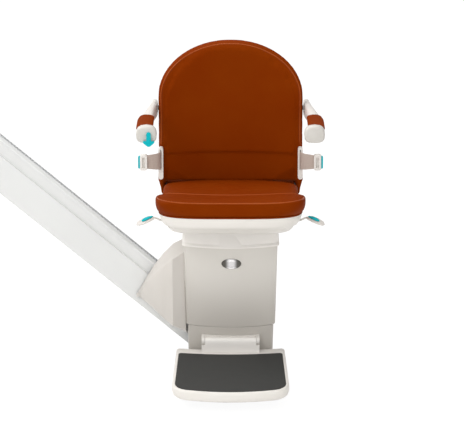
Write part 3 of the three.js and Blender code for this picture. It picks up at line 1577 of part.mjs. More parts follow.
function mat() {
  const low = footplate_top - mat_sink + fit;
  return stacked([[footplate_plan(mat_inset, mat_rear), low],
    [footplate_plan(mat_inset, mat_rear), low + mat_thickness - mat_edge],
    [footplate_plan(mat_inset + mat_edge, mat_rear + mat_edge), low + mat_thickness]]);
}

add('footplate', 'white', footplate());
add('footplate_mat', 'mat', mat());

const safety_travel = 4;
const safety_drop = 5;

function safety_pan() {
  const top = footplate_bottom + pocket_depth - safety_travel - 1;
  return stacked([[footplate_plan(pocket_inset + 6), footplate_bottom - safety_drop],
    [footplate_plan(pocket_inset + 0.5), footplate_bottom - safety_drop + 4],
    [footplate_plan(pocket_inset + 0.5), top]]);
}

add('footplate_safety_pan', 'black_plastic', safety_pan());

export default stairlift;
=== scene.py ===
import json
import math
import bmesh
import bpy
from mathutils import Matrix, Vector
from mathutils.bvhtree import BVHTree


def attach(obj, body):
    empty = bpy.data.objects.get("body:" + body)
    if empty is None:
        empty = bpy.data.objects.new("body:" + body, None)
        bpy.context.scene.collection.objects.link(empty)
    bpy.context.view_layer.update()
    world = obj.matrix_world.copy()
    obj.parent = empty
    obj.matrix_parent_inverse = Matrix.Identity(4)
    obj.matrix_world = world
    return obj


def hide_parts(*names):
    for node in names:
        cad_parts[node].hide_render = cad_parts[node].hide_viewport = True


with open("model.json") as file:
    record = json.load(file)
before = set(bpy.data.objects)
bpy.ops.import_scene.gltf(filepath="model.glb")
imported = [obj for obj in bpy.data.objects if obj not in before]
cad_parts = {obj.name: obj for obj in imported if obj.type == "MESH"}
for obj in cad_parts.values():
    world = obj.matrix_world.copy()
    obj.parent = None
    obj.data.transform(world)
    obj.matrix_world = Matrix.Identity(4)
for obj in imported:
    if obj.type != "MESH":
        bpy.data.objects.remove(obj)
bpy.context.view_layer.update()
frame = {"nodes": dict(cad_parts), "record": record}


# Studio: a pale floor and soft lamps, with the camera 19.5 degrees above the horizon and nearly 6 m
# away, as the photograph was taken.

def linear(code):
    """An sRGB hex colour as linear RGBA."""
    channels = [int(code[i:i + 2], 16) / 255 for i in (1, 3, 5)]
    return tuple(c / 12.92 if c <= 0.04045 else ((c + 0.055) / 1.055) ** 2.4 for c in channels) + (1.0,)


def add_node(tree, kind, inputs=None, **settings):
    """Adds a node, sets its properties, and fills or links its inputs."""
    made = tree.nodes.new(kind)
    for key, value in settings.items():
        setattr(made, key, value)
    for key, value in (inputs or {}).items():
        if isinstance(value, bpy.types.NodeSocket):
            tree.links.new(value, made.inputs[key])
        else:
            made.inputs[key].default_value = value
    return made


def link_object(name, mesh):
    piece = bpy.data.objects.new(name, mesh)
    bpy.context.scene.collection.objects.link(piece)
    return piece


looks_down = 19.5
camera_data = bpy.data.cameras.new("camera")
camera_data.lens = 155.17
camera_data.sensor_width = 36
camera_data.clip_end = 60
camera = link_object("camera", camera_data)
camera.location = (0.004425, -5.91578, 2.56031)
camera.rotation_euler = (math.radians(90 - looks_down), 0, 0)
bpy.context.scene.camera = camera
bpy.context.scene.view_settings.view_transform = "Standard"

world = bpy.data.worlds.new("studio")
world.use_nodes = True
bpy.context.scene.world = world
tree = world.node_tree
tree.nodes.clear()
seen = add_node(tree, "ShaderNodeLightPath")
direct = add_node(tree, "ShaderNodeMath", {0: seen.outputs["Is Camera Ray"],
                                            1: seen.outputs["Is Transmission Ray"]}, operation="MAXIMUM")
pale_sky = add_node(tree, "ShaderNodeBackground", {"Color": linear("#ffffff"), "Strength": 1.0})
soft_sky = add_node(tree, "ShaderNodeBackground", {"Color": linear("#fbfaf8"), "Strength": 0.5})
sky = add_node(tree, "ShaderNodeMixShader", {0: direct.outputs[0], 1: soft_sky.outputs[0],
                                             2: pale_sky.outputs[0]})
add_node(tree, "ShaderNodeOutputWorld", {"Surface": sky.outputs[0]})

floor_half = 15
floor_mesh = bpy.data.meshes.new("floor")
floor_mesh.from_pydata([(-floor_half, -floor_half, 0), (floor_half, -floor_half, 0),
                        (floor_half, floor_half, 0), (-floor_half, floor_half, 0)], [], [(0, 1, 2, 3)])
floor = link_object("floor", floor_mesh)
paper = bpy.data.materials.new("white studio paper")
paper.use_nodes = True
tree = paper.node_tree
tree.nodes.clear()
seen = add_node(tree, "ShaderNodeLightPath")
direct = add_node(tree, "ShaderNodeMath", {0: seen.outputs["Is Camera Ray"],
                                            1: seen.outputs["Is Glossy Ray"]}, operation="MAXIMUM")
lift = add_node(tree, "ShaderNodeMath", {0: direct.outputs[0], 1: 0.84}, operation="MULTIPLY")
matt = add_node(tree, "ShaderNodeBsdfDiffuse", {"Color": linear("#f0efed")})
glow = add_node(tree, "ShaderNodeEmission", {"Color": linear("#ffffff"), "Strength": 1.12})
mixed = add_node(tree, "ShaderNodeMixShader", {0: lift.outputs[0], 1: matt.outputs[0], 2: glow.outputs[0]})
add_node(tree, "ShaderNodeOutputMaterial", {"Surface": mixed.outputs[0]})
floor_mesh.materials.append(paper)

lit_middle = Vector((0, -0.1, 0.55))
for name, place, size, power in (("key lamp", (-1.8, -3.2, 3.4), 2.2, 60),
                                 ("fill lamp", (2.6, -3.0, 2.0), 2.4, 18),
                                 ("front lamp", (-0.3, -4.6, 0.8), 2.4, 28),
                                 ("side lamp", (-2.7, 0.9, 3.1), 2.2, 62),
                                 ("top lamp", (-0.4, 0.4, 3.6), 2.6, 48)):
    lamp = bpy.data.lights.new(name, "AREA")
    lamp.energy = power
    lamp.size = size
    lamp_object = link_object(name, lamp)
    lamp_object.location = place
    lamp_object.rotation_euler = (lit_middle - Vector(place)).to_track_quat("-Z", "Y").to_euler()


# Rail: an aluminium extrusion, powder coated white, with a long groove down its face and a toothed
# steel rack bolted into the channel on its top. Its foot is a zinc-plated plate screwed to the stair.

MM = 0.001
nodes = frame["nodes"]
body_of = {node: body for body, members in frame["record"]["behaviour"]["bodies"].items() for node in members}


def surface(name, colour, roughness, metallic=0.0, ior=None):
    """A material with its shader, for the finishes below to draw on."""
    material = bpy.data.materials.new(name)
    material.use_nodes = True
    tree = material.node_tree
    tree.nodes.clear()
    shader = add_node(tree, "ShaderNodeBsdfPrincipled", {"Base Color": linear(colour), "Roughness": roughness,
                                                         "Metallic": metallic})
    if ior:
        shader.inputs["IOR"].default_value = ior
    add_node(tree, "ShaderNodeOutputMaterial", {"Surface": shader.outputs[0]})
    place = add_node(tree, "ShaderNodeTexCoord").outputs["Object"]
    return material, tree, shader, place


def tint(tree, shader, place, light, dark, size_mm, detail=3.0):
    """A soft drift between two close colours, whose patches are size_mm across."""
    drift = add_node(tree, "ShaderNodeTexNoise", {"Vector": place, "Scale": 1 / (size_mm * MM),
                                                  "Detail": detail})
    blend = add_node(tree, "ShaderNodeMix", {"Factor": drift.outputs[0], 6: linear(dark), 7: linear(light)},
                     data_type="RGBA")
    tree.links.new(blend.outputs[2], shader.inputs["Base Color"])


def vary_gloss(tree, shader, place, low, high, size_mm):
    """Roughness that wanders between two values over patches of size_mm."""
    patches = add_node(tree, "ShaderNodeTexNoise", {"Vector": place, "Scale": 1 / (size_mm * MM),
                                                    "Detail": 4.0})
    ramp = add_node(tree, "ShaderNodeMapRange", {"Value": patches.outputs[0], 1: 0.3, 2: 0.7,
                                                 3: low, 4: high})
    tree.links.new(ramp.outputs[0], shader.inputs["Roughness"])


def relief(tree, shader, height, depth_mm, strength):
    """Bump from a height between 0 and 1 that stands for depth_mm."""
    bump = add_node(tree, "ShaderNodeBump", {"Height": height, "Distance": depth_mm * MM,
                                             "Strength": strength})
    tree.links.new(bump.outputs[0], shader.inputs["Normal"])


def powder_coat():
    """Polyester powder on aluminium: an even white with the faint orange peel of the cured powder."""
    material, tree, shader, place = surface("white powder coat", "#e9eae9", 0.42, ior=1.5)
    tint(tree, shader, place, "#e6e7e6", "#dfe0e0", 180)
    peel = add_node(tree, "ShaderNodeTexNoise", {"Vector": place, "Scale": 1 / (2.2 * MM), "Detail": 2.0})
    relief(tree, shader, peel.outputs[0], 0.05, 0.5)
    vary_gloss(tree, shader, place, 0.38, 0.48, 60)
    return material


def zinc_plate(name="zinc plated steel", light="#c3c6ca", dark="#a4a8ad"):
    """Bright zinc on steel: a pale grey with the drifting spangle of the plating bath."""
    material, tree, shader, place = surface(name, light, 0.4, metallic=1.0)
    spangle = add_node(tree, "ShaderNodeTexVoronoi", {"Vector": place, "Scale": 1 / (9 * MM)})
    shade = add_node(tree, "ShaderNodeMix", {"Factor": spangle.outputs["Distance"], 6: linear(light),
                                             7: linear(dark)}, data_type="RGBA")
    tree.links.new(shade.outputs[2], shader.inputs["Base Color"])
    vary_gloss(tree, shader, place, 0.34, 0.5, 12)
    return material


def moulded_rubber(name, colour, grain_mm=1.2):
    """Moulded rubber: near black, matt, with the fine bloom of the mould."""
    material, tree, shader, place = surface(name, colour, 0.78, ior=1.52)
    tint(tree, shader, place, colour, "#262626", 6)
    grit = add_node(tree, "ShaderNodeTexNoise", {"Vector": place, "Scale": 1 / (grain_mm * MM),
                                                 "Detail": 3.0})
    relief(tree, shader, grit.outputs[0], 0.12, 0.6)
    return material


def moulded_abs(name, light, dark, roughness, gloss=0.5):
    """Injection-moulded ABS: satin, with a fine spark-eroded texture and a slow drift of tone."""
    material, tree, shader, place = surface(name, light, roughness, ior=1.54)
    shader.inputs["Specular IOR Level"].default_value = gloss
    tint(tree, shader, place, light, dark, 140)
    spark = add_node(tree, "ShaderNodeTexNoise", {"Vector": place, "Scale": 1 / (1.1 * MM), "Detail": 3.0})
    relief(tree, shader, spark.outputs[0], 0.05, 0.55)
    vary_gloss(tree, shader, place, roughness - 0.05, roughness + 0.06, 45)
    return material


def finish(name, material):
    """Gives a CAD node that keeps its shape its finish."""
    mesh = nodes[name].data
    mesh.materials.clear()
    mesh.materials.append(material)


def settle(piece):
    """Turns what a piece's modifiers make into its plain mesh."""
    graph = bpy.context.evaluated_depsgraph_get()
    made = bpy.data.meshes.new_from_object(piece.evaluated_get(graph), preserve_all_data_layers=True,
                                           depsgraph=graph)
    piece.modifiers.clear()
    old = piece.data
    piece.data = made
    bpy.data.meshes.remove(old)


def eased(name, material, edge_mm=0.8, crease=32):
    """A CAD node's moulding with its edges broken and its curved walls smooth; it stands for the node."""
    shape = bmesh.new()
    shape.from_mesh(nodes[name].data)
    bmesh.ops.remove_doubles(shape, verts=shape.verts, dist=0.005 * MM)
    bmesh.ops.dissolve_limit(shape, angle_limit=math.radians(0.6), verts=shape.verts, edges=shape.edges)
    for face in shape.faces:
        face.smooth = True
    for edge in shape.edges:
        edge.smooth = edge.calc_face_angle(0) < math.radians(crease)
    mesh = bpy.data.meshes.new(name + "_eased")
    shape.to_mesh(mesh)
    shape.free()
    piece = link_object(name + "_eased", mesh)
    if edge_mm:
        bevel = piece.modifiers.new("broken edges", "BEVEL")
        bevel.width = edge_mm * MM
        bevel.segments = 2
        bevel.limit_method = "ANGLE"
        bevel.angle_limit = math.radians(crease)
        bevel.harden_normals = True
        settle(piece)
    mesh = piece.data
    mesh.materials.clear()
    mesh.materials.append(material)
    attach(piece, body_of[name])
    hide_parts(name)
    return piece


coat = powder_coat()
zinc = zinc_plate()
roller_rubber = moulded_rubber("roller rubber", "#2f2f2e")
white_abs = moulded_abs("white moulded ABS", "#e9e5e0", "#e2ded8", 0.38)
eased("rail", coat, 0.5)
eased("upper_end_cap", white_abs, 0.4)
eased("lower_end_cap", white_abs, 0.4)
eased("rail_foot", zinc, 0.5)
eased("lower_end_stop", roller_rubber, 0.8)
finish("gear_rack", zinc_plate("bright zinc plated rack", "#e2e4e6", "#d4d7da"))


# Carriage: a black-coated plate with two hoops over the rail, six rubber-tyred rollers and the
# pinion on the gearbox shaft; before it stands the zinc tower with motor, batteries and board.

def machined_steel():
    """Milled steel, oiled: tool lines, drawn 4 mm apart so that they show, and a darker film in patches."""
    material, tree, shader, place = surface("machined steel", "#8f9397", 0.38, metallic=1.0)
    tint(tree, shader, place, "#8f9397", "#6e7276", 14)
    lines = add_node(tree, "ShaderNodeTexWave", {"Vector": place, "Scale": 1 / (12 * MM), "Distortion": 1.5,
                                                 "Detail": 2.0}, bands_direction="Y")
    relief(tree, shader, lines.outputs["Fac"], 0.04, 0.4)
    vary_gloss(tree, shader, place, 0.3, 0.48, 9)
    return material


def black_coat():
    """Black enamel on steel plate: satin, drifting a little paler and darker in patches."""
    material, tree, shader, place = surface("black enamelled steel", "#333538", 0.5, ior=1.5)
    tint(tree, shader, place, "#3b3d40", "#2c2e31", 20)
    peel = add_node(tree, "ShaderNodeTexNoise", {"Vector": place, "Scale": 1 / (1.6 * MM), "Detail": 2.0})
    relief(tree, shader, peel.outputs[0], 0.06, 0.5)
    vary_gloss(tree, shader, place, 0.42, 0.58, 30)
    return material


def solder_mask():
    """Green solder mask over fibreglass, glossy over the copper tracks."""
    material, tree, shader, place = surface("circuit board", "#1f5a3a", 0.35, ior=1.5)
    tracks = add_node(tree, "ShaderNodeTexBrick", {"Vector": place, "Scale": 1 / (30 * MM),
                                                   "Color1": linear("#1f5a3a"), "Color2": linear("#236342"),
                                                   "Mortar": linear("#2f7a52")})
    tree.links.new(tracks.outputs[0], shader.inputs["Base Color"])
    return material


steel = machined_steel()
black = black_coat()
battery_case = moulded_rubber("battery case", "#27282b", 1.0)
eased("carriage_chassis", black, 0.6)
eased("tower_frame", zinc, 0)
eased("gearbox", steel, 0.8)
eased("motor", black, 0.6)
eased("drive_pinion", steel, 0.2)
for kind in ("load", "hook", "thrust"):
    for end in ("upper", "lower"):
        eased(f"{kind}_roller_{end}", roller_rubber, 0.3)
for side in ("left", "right"):
    eased(f"battery_{side}", battery_case, 0.8)
finish("control_board", solder_mask())


# Column covers: thin mouldings with a bowed front that slip over the tower, the flared casing that
# closes the drive in against the rail, and the neck hood under the seat. Screws hold their sides.

def column_abs():
    """Warm grey ABS, satin, with painted shade: the tall moulding's colour darkens towards its foot."""
    material = moulded_abs("warm grey moulded ABS", "#dad6d0", "#d4d0c9", 0.45)
    tree = material.node_tree
    shader = next(node for node in tree.nodes if node.type == "BSDF_PRINCIPLED")
    even = shader.inputs["Base Color"].links[0].from_socket
    place = next(node for node in tree.nodes if node.type == "TEX_COORD").outputs["Object"]
    height = add_node(tree, "ShaderNodeSeparateXYZ", {"Vector": place})
    # Painted shade: from 0.37 m down to 0.13 m the colour darkens, for the light falling off towards the
    # floor.
    painted_shade_top, painted_shade_bottom = 0.37, 0.13
    share = add_node(tree, "ShaderNodeMapRange", {"Value": height.outputs["Z"], 1: painted_shade_top, 2: painted_shade_bottom,
                                                  3: 0.0, 4: 1.0}, interpolation_type="SMOOTHSTEP")
    painted_shade_mix = add_node(tree, "ShaderNodeMix", {"Factor": share.outputs[0], 6: even, 7: linear("#b6b1aa")},
                      data_type="RGBA")
    tree.links.new(painted_shade_mix.outputs[2], shader.inputs["Base Color"])
    return material


def screw_tree():
    """Button-head screws: one on each point given, facing along its "facing" vector."""
    tree = bpy.data.node_groups.new("button-head screws", "GeometryNodeTree")
    for name, kind in (("Points", "NodeSocketGeometry"), ("Head radius", "NodeSocketFloat"),
                       ("Head height", "NodeSocketFloat"), ("Socket radius", "NodeSocketFloat"),
                       ("Finish", "NodeSocketMaterial")):
        tree.interface.new_socket(name, in_out="INPUT", socket_type=kind)
    tree.interface.new_socket("Screws", in_out="OUTPUT", socket_type="NodeSocketGeometry")
    given = add_node(tree, "NodeGroupInput").outputs
    crown = add_node(tree, "ShaderNodeMath", {0: given["Head radius"], 1: 0.62}, operation="MULTIPLY")
    head = add_node(tree, "GeometryNodeMeshCone", {"Vertices": 24, "Radius Top": crown.outputs[0],
                                                   "Radius Bottom": given["Head radius"],
                                                   "Depth": given["Head height"]})
    key = add_node(tree, "GeometryNodeMeshCylinder", {"Vertices": 6, "Radius": given["Socket radius"],
                                                      "Depth": given["Head height"]})
    lift = add_node(tree, "ShaderNodeCombineXYZ", {"Z": given["Head height"]})
    key = add_node(tree, "GeometryNodeTransform", {"Geometry": key.outputs[0],
                                                   "Translation": lift.outputs[0]})
    cut = add_node(tree, "GeometryNodeMeshBoolean", {"Mesh 1": head.outputs[0], "Mesh 2": key.outputs[0]},
                   operation="DIFFERENCE")
    facing = add_node(tree, "GeometryNodeInputNamedAttribute", {"Name": "facing"}, data_type="FLOAT_VECTOR")
    turned = add_node(tree, "FunctionNodeAlignRotationToVector", {"Vector": facing.outputs[0]}, axis="Z")
    placed = add_node(tree, "GeometryNodeInstanceOnPoints", {"Points": given["Points"],
                                                             "Instance": cut.outputs[0],
                                                             "Rotation": turned.outputs[0]})
    real = add_node(tree, "GeometryNodeRealizeInstances", {"Geometry": placed.outputs[0]})
    done = add_node(tree, "GeometryNodeSetMaterial", {"Geometry": real.outputs[0],
                                                      "Material": given["Finish"]})
    add_node(tree, "NodeGroupOutput", {"Screws": done.outputs[0]})
    return tree


def grow(piece, tree, sizes):
    """Runs a tree with its named sizes on a piece and keeps what it makes as a plain mesh."""
    modifier = piece.modifiers.new(tree.name, "NODES")
    modifier.node_group = tree
    for item in tree.interface.items_tree:
        if item.in_out == "INPUT" and item.name in sizes:
            modifier[item.identifier] = sizes[item.name]
    settle(piece)


def skin_of(piece):
    """A piece's faces, ready to be met by a line or asked for their nearest point."""
    mesh = piece.data
    return BVHTree.FromPolygons([v.co for v in mesh.vertices], [f.vertices[:] for f in mesh.polygons])


def screwed(name, piece, lines, body, radius_mm):
    """Screws driven into a piece where each line, a start and a heading, first meets its skin."""
    skin = skin_of(piece)
    hits = [skin.ray_cast(Vector(start) * MM, Vector(heading))[:2] for start, heading in lines]
    mesh = bpy.data.meshes.new(name)
    mesh.from_pydata([tuple(spot - normal * 0.1 * MM) for spot, normal in hits], [], [])
    facing = mesh.attributes.new("facing", "FLOAT_VECTOR", "POINT")
    for item, (spot, normal) in zip(facing.data, hits):
        item.vector = normal
    screws = link_object(name, mesh)
    grow(screws, screws_tree, {"Head radius": radius_mm * MM, "Head height": 0.55 * radius_mm * MM,
                               "Socket radius": 0.42 * radius_mm * MM, "Finish": steel})
    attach(screws, body)


screws_tree = screw_tree()
column_grey = column_abs()
grey_abs = moulded_abs("pale grey moulded ABS", "#ded9d4", "#d6d1cb", 0.42)
# A paler copy of the white ABS, painted light: it lifts the neck hood in the shade under the seat and the
# hinge leaf in the shade at the column's foot.
painted_light_abs = moulded_abs("white moulded ABS with painted light", "#f2eee9", "#ece8e3", 0.44)
casing_abs = moulded_abs("casing moulded ABS", "#d4cfc9", "#cec9c3", 0.45)
front = eased("front_cover", column_grey, 0.8, 34)
eased("lower_cover", column_grey, 0.8, 34)
eased("neck_cover", painted_light_abs, 0.8, 34)
eased("side_casing", casing_abs, 0, 34)
eased("swivel_ring", steel, 0.4)
eased("turntable_hub", steel, 0.4)
screwed("column_screws", front, [((200, -90, z), (-1, 0, 0)) for z in (185, 375)], "carriage", 3.6)


# Badge place: a bare oval plate of chromed zinc on the column's front, domed a little, with a polished
# rim, a shallow groove inside it and a brushed field.

badge_x, badge_z = 0.0024, 0.357
badge_half_x, badge_half_z, badge_thick = 0.0305, 0.0165, 0.0026


def bright_plate():
    """Chromed zinc casting, with a painted reflection: pale in the middle and dark towards its ends, where
    the dome turns away.
    """
    material, tree, shader, place = surface("chromed badge plate", "#c9c9ca", 0.2, metallic=1.0)
    # Painted reflection: the colour goes from pale within 5 mm of the middle to dark 20 mm out, for the dome
    # turning from the light.
    painted_reflection_pale_within, painted_reflection_dark_beyond = 0.005, 0.02
    centred = add_node(tree, "ShaderNodeSeparateXYZ", {"Vector": place})
    off = add_node(tree, "ShaderNodeMath", {0: centred.outputs["X"], 1: badge_x}, operation="SUBTRACT")
    far = add_node(tree, "ShaderNodeMath", {0: off.outputs[0]}, operation="ABSOLUTE")
    share = add_node(tree, "ShaderNodeMapRange", {"Value": far.outputs[0], 1: painted_reflection_pale_within, 2: painted_reflection_dark_beyond,
                                                  3: 0.0, 4: 1.0}, interpolation_type="SMOOTHSTEP")
    shade = add_node(tree, "ShaderNodeMix", {"Factor": share.outputs[0], 6: linear("#d6d4d4"),
                                             7: linear("#5a5853")}, data_type="RGBA")
    tree.links.new(shade.outputs[2], shader.inputs["Base Color"])
    stretch = add_node(tree, "ShaderNodeMapping", {"Vector": place, "Scale": (40, 1, 2000)})
    lines = add_node(tree, "ShaderNodeTexNoise", {"Vector": stretch.outputs[0], "Scale": 1.0, "Detail": 2.0})
    relief(tree, shader, lines.outputs[0], 0.02, 0.4)
    return material


def column_front(x):
    """The front cover's outer face at x, in metres in front of the rail, as the CAD bows it."""
    side_depth, bow, half_width = 0.158, 0.026, 0.14385
    return -(side_depth + bow * (1 - (x / half_width) ** 2))


def oval_plate(name):
    """The plate's rings, each at a share of its outline and of its thickness, over a flat back."""
    steps = 40
    profile = ((1.0, 0.0), (1.0, 0.5), (0.97, 0.8), (0.9, 0.85), (0.84, 0.6), (0.7, 0.85), (0.35, 1.0))
    vertices = []
    for share, proud in profile:
        for step in range(steps):
            turn = 2 * math.pi * step / steps
            x = badge_x + badge_half_x * share * math.cos(turn)
            vertices.append((x, column_front(x) - badge_thick * proud,
                             badge_z + badge_half_z * share * math.sin(turn)))
    vertices.append((badge_x, column_front(badge_x) - badge_thick, badge_z))
    last = (len(profile) - 1) * steps
    faces = []
    for start in range(0, last, steps):
        for i in range(steps):
            k = (i + 1) % steps
            faces.append((start + i, start + k, start + steps + k, start + steps + i))
    faces += [(last + i, last + (i + 1) % steps, len(vertices) - 1) for i in range(steps)]
    faces.append(tuple(reversed(range(steps))))
    mesh = bpy.data.meshes.new(name)
    mesh.from_pydata(vertices, [], faces)
    mesh.shade_smooth()
    return link_object(name, mesh)


badge = oval_plate("bare_badge")
badge.data.materials.append(bright_plate())
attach(badge, "carriage")


# Footrest: an injection-moulded tray on a hinge leaf at the column's foot, with a rubber mat in its
# recess. The black pan under it gives way when something is below, and stops the lift.

def footrest_mat():
    """Ribbed nitrile mat: charcoal, matt, with shallow pimples 5 mm apart that grip a shoe."""
    material, tree, shader, place = surface("charcoal mat rubber", "#3d3d3b", 0.75, ior=1.5)
    shader.inputs["Specular IOR Level"].default_value = 0.3
    tint(tree, shader, place, "#3d3d3b", "#393938", 25)
    pimples = add_node(tree, "ShaderNodeTexVoronoi", {"Vector": place, "Scale": 1 / (5 * MM),
                                                      "Randomness": 0.0})
    relief(tree, shader, pimples.outputs["Distance"], 0.2, 0.3)
    return material


safety_black = moulded_abs("black moulded ABS", "#2b2c2f", "#242528", 0.5)
eased("footrest_bracket", white_abs, 0.8)
# The hinge leaf wears the paler copy of the white ABS: painted light against its shade.
eased("footrest_hinge_leaf", painted_light_abs, 0.8)
eased("footplate", white_abs, 0.6)
eased("footplate_mat", footrest_mat(), 0.8)
eased("footplate_safety_pan", safety_black, 0.6)


# Seat frame, base housing and pan: black plates, a lower white skirt that turns with the seat and
# the pan that folds up with the cushion.

eased("back_frame", black, 0.6)
eased("seat_frame", black, 0.5)
eased("seat_base_housing", white_abs, 0.8, 40)
eased("seat_pan", white_abs, 0.8, 40)
finish("lock_plunger", steel)
finish("release_rod", steel)


# Release levers: moulded grey paddles with a teal pad on top, one at each end of the steel cross rod
# that frees the swivel's lock.

teal = moulded_abs("teal moulded ABS", "#00b6c0", "#00acb6", 0.6, 0.15)
for side in ("left", "right"):
    eased(f"release_lever_{side}", grey_abs, 0.4, 50)
    eased(f"lever_pad_{side}", teal, 0.2, 50)


# Seat cushion: moulded foam in a sewn leatherette cover. Piping runs across the top where the front
# roll begins, and round the roll's upper edge from shoulder to shoulder, with a row of stitches.

def leatherette(name, light, dark, low, high, gloss):
    """Vinyl-coated leatherette: red-brown, satin, embossed with a pebble grain drawn 2 mm across."""
    material, tree, shader, place = surface(name, light, low, ior=1.5)
    shader.inputs["Specular IOR Level"].default_value = gloss
    shader.inputs["Specular Tint"].default_value = linear("#e0a070")
    tint(tree, shader, place, light, dark, 110, 4.0)
    pebble = add_node(tree, "ShaderNodeTexVoronoi", {"Vector": place, "Scale": 1 / (2.0 * MM)})
    wrinkle = add_node(tree, "ShaderNodeTexNoise", {"Vector": place, "Scale": 1 / (11 * MM), "Detail": 3.0})
    height = add_node(tree, "ShaderNodeMath", {0: wrinkle.outputs[0], 1: 0.6, 2: pebble.outputs["Distance"]},
                      operation="MULTIPLY_ADD")
    relief(tree, shader, height.outputs[0], 0.1, 0.5)
    vary_gloss(tree, shader, place, low, high, 25)
    return material


leather = leatherette("red-brown leatherette", "#803403", "#762600", 0.6, 0.7, 0.06)
# The piping is the pad's leatherette in a paler, glossier copy: its paler colour is a painted highlight along
# the seams.
painted_highlight_piping = leatherette("leatherette piping, painted highlight", "#a04e24", "#944017", 0.34, 0.44, 0.35)
seat_tilt = math.radians(8)
seat_front_y, seat_front_z = -347.5, 562
seat_half, seat_run, seat_mid, seat_tall = 226, 181, 181.5, 57


def seat_place(x, u, v):
    """A point of the tilted seat, from x, distance back and height in millimetres, in metres."""
    return Vector((x * MM, (seat_front_y + u * math.cos(seat_tilt) + v * math.sin(seat_tilt)) * MM,
                   (seat_front_z - u * math.sin(seat_tilt) + v * math.cos(seat_tilt)) * MM))


def seat_local(point):
    """The other way round: a point's x, distance back and height on the seat, in millimetres."""
    y, z = point.y / MM - seat_front_y, point.z / MM - seat_front_z
    return (point.x / MM, y * math.cos(seat_tilt) - z * math.sin(seat_tilt),
            y * math.sin(seat_tilt) + z * math.cos(seat_tilt))


def box_point(turn, a, b, power):
    """A point on the outline of a rounded box, squarer with a higher power."""
    across, up = math.cos(turn), math.sin(turn)
    return (a * math.copysign(abs(across) ** (2 / power), across),
            b * math.copysign(abs(up) ** (2 / power), up))


def ease(value, start, end):
    """A smooth rise from 0 at start to 1 at end."""
    share = min(1, max(0, (value - start) / (end - start)))
    return share * share * (3 - 2 * share)


def seat_waist(u):
    """The seat's share of its full width at u: it goes in behind the front roll, where the folded seat
    passes the belt's bezels, and again at the hinge, beside the pan's ears."""
    behind_roll, at_hinge = 0.083, 0.055
    return 1 - behind_roll * ease(u, 114, 130) - at_hinge * ease(u, 286, 302)


def ring_skin(rings, name):
    """A closed mesh over rings of points, with its two ends filled towards their middles."""
    count = len(rings[0])
    vertices = [point for ring in rings for point in ring]
    faces = []
    for r in range(len(rings) - 1):
        for i in range(count):
            k = (i + 1) % count
            faces.append((r * count + i, r * count + k, (r + 1) * count + k, (r + 1) * count + i))
    for start, order in ((0, -1), ((len(rings) - 1) * count, 1)):
        middle = sum((Vector(vertices[start + i]) for i in range(count)), Vector()) / count
        vertices.append(middle)
        for i in range(count):
            k = (i + 1) % count
            faces.append((start + i, start + k, len(vertices) - 1)[::order])
    mesh = bpy.data.meshes.new(name)
    mesh.from_pydata([tuple(point) for point in vertices], [], faces)
    shape = bmesh.new()
    shape.from_mesh(mesh)
    bmesh.ops.recalc_face_normals(shape, faces=shape.faces)
    shape.to_mesh(mesh)
    shape.free()
    return link_object(name, mesh)


def stuffed(piece, voxel_mm, cap_mm, keep):
    """Remeshes a cushion's form, swells it with cloth pressure and holds it back where keep says."""
    remesh = piece.modifiers.new("even mesh", "REMESH")
    remesh.mode = "VOXEL"
    remesh.voxel_size = voxel_mm * MM
    settle(piece)
    before = [vertex.co.copy() for vertex in piece.data.vertices]
    after = before
    cloth = piece.modifiers.new("swell", "CLOTH")
    cloth.settings.use_pressure = True
    cloth.settings.uniform_pressure_force = 4
    cloth.settings.effector_weights.gravity = 0
    cloth.settings.quality = 5
    for step in range(1, 21):
        bpy.context.scene.frame_set(step)
    graph = bpy.context.evaluated_depsgraph_get()
    swollen = piece.evaluated_get(graph).to_mesh()
    after = [vertex.co.copy() for vertex in swollen.vertices]
    piece.modifiers.clear()
    bpy.context.scene.frame_set(1)
    for vertex, old, new in zip(piece.data.vertices, before, after):
        move = new - old
        if move.length > cap_mm * MM:
            move.length = cap_mm * MM
        vertex.co = keep(old, old + move)
    smooth = piece.modifiers.new("even", "SMOOTH")
    smooth.factor = 0.5
    smooth.iterations = 3
    finer = piece.modifiers.new("finer", "SUBSURF")
    finer.levels = finer.render_levels = 1
    settle(piece)
    piece.data.shade_smooth()


def seat_form():
    """The cushion's rows, from its flat base over the full sides to the crowned top."""
    steps = 64
    stations = [-math.cos(math.pi * i / steps) for i in range(steps + 1)]
    # Each row is its height, how far it lies inside the full outline, and how square its corners are.
    rows = [(0.5, 9, 3.9), (4, 6, 4.0), (10, 2.5, 4.3), (20, 0.5, 5.2), (32, 0, 6.0), (42, 0, 6.4),
            (47, 1.5, 6.4), (50, 6, 6.2), (51.6, 18, 5.4), (53.4, 52, 4.8), (54.8, 95, 4.4), (55.5, 140, 4.2)]
    rings = []
    for v, inset, power in rows:
        half, run = seat_half - inset, seat_run - inset
        right = []
        for s in stations:
            u = seat_mid + run * s
            right.append((half * max(0, 1 - abs(s) ** power) ** (1 / power) * seat_waist(u), u))
        ring = []
        for x, u in right + [(-x, u) for x, u in right[-2:0:-1]]:
            sag = 8 * ease(u, 285, 350) * (x / 200) ** 2 * ease(v, 30, 50)
            ring.append(seat_place(x, u, v - sag))
        rings.append(ring)
    return ring_skin(rings, "seat_pad")


def seat_keep(old, new):
    """The foam only swells: its front, sides and top never draw in, and its base and rear stay put."""
    x0, u0, v0 = seat_local(old)
    x, u, v = seat_local(new)
    base_top = 24
    half = (seat_half + 0.5) * seat_waist(u0)
    x = math.copysign(max(abs(x0), min(abs(x), half)), x0)
    u = max(0.3, min(u, u0)) if u0 < seat_mid else u0
    v = min(max(v, v0), seat_tall) if v0 > base_top else v0
    return seat_place(x, u, v)


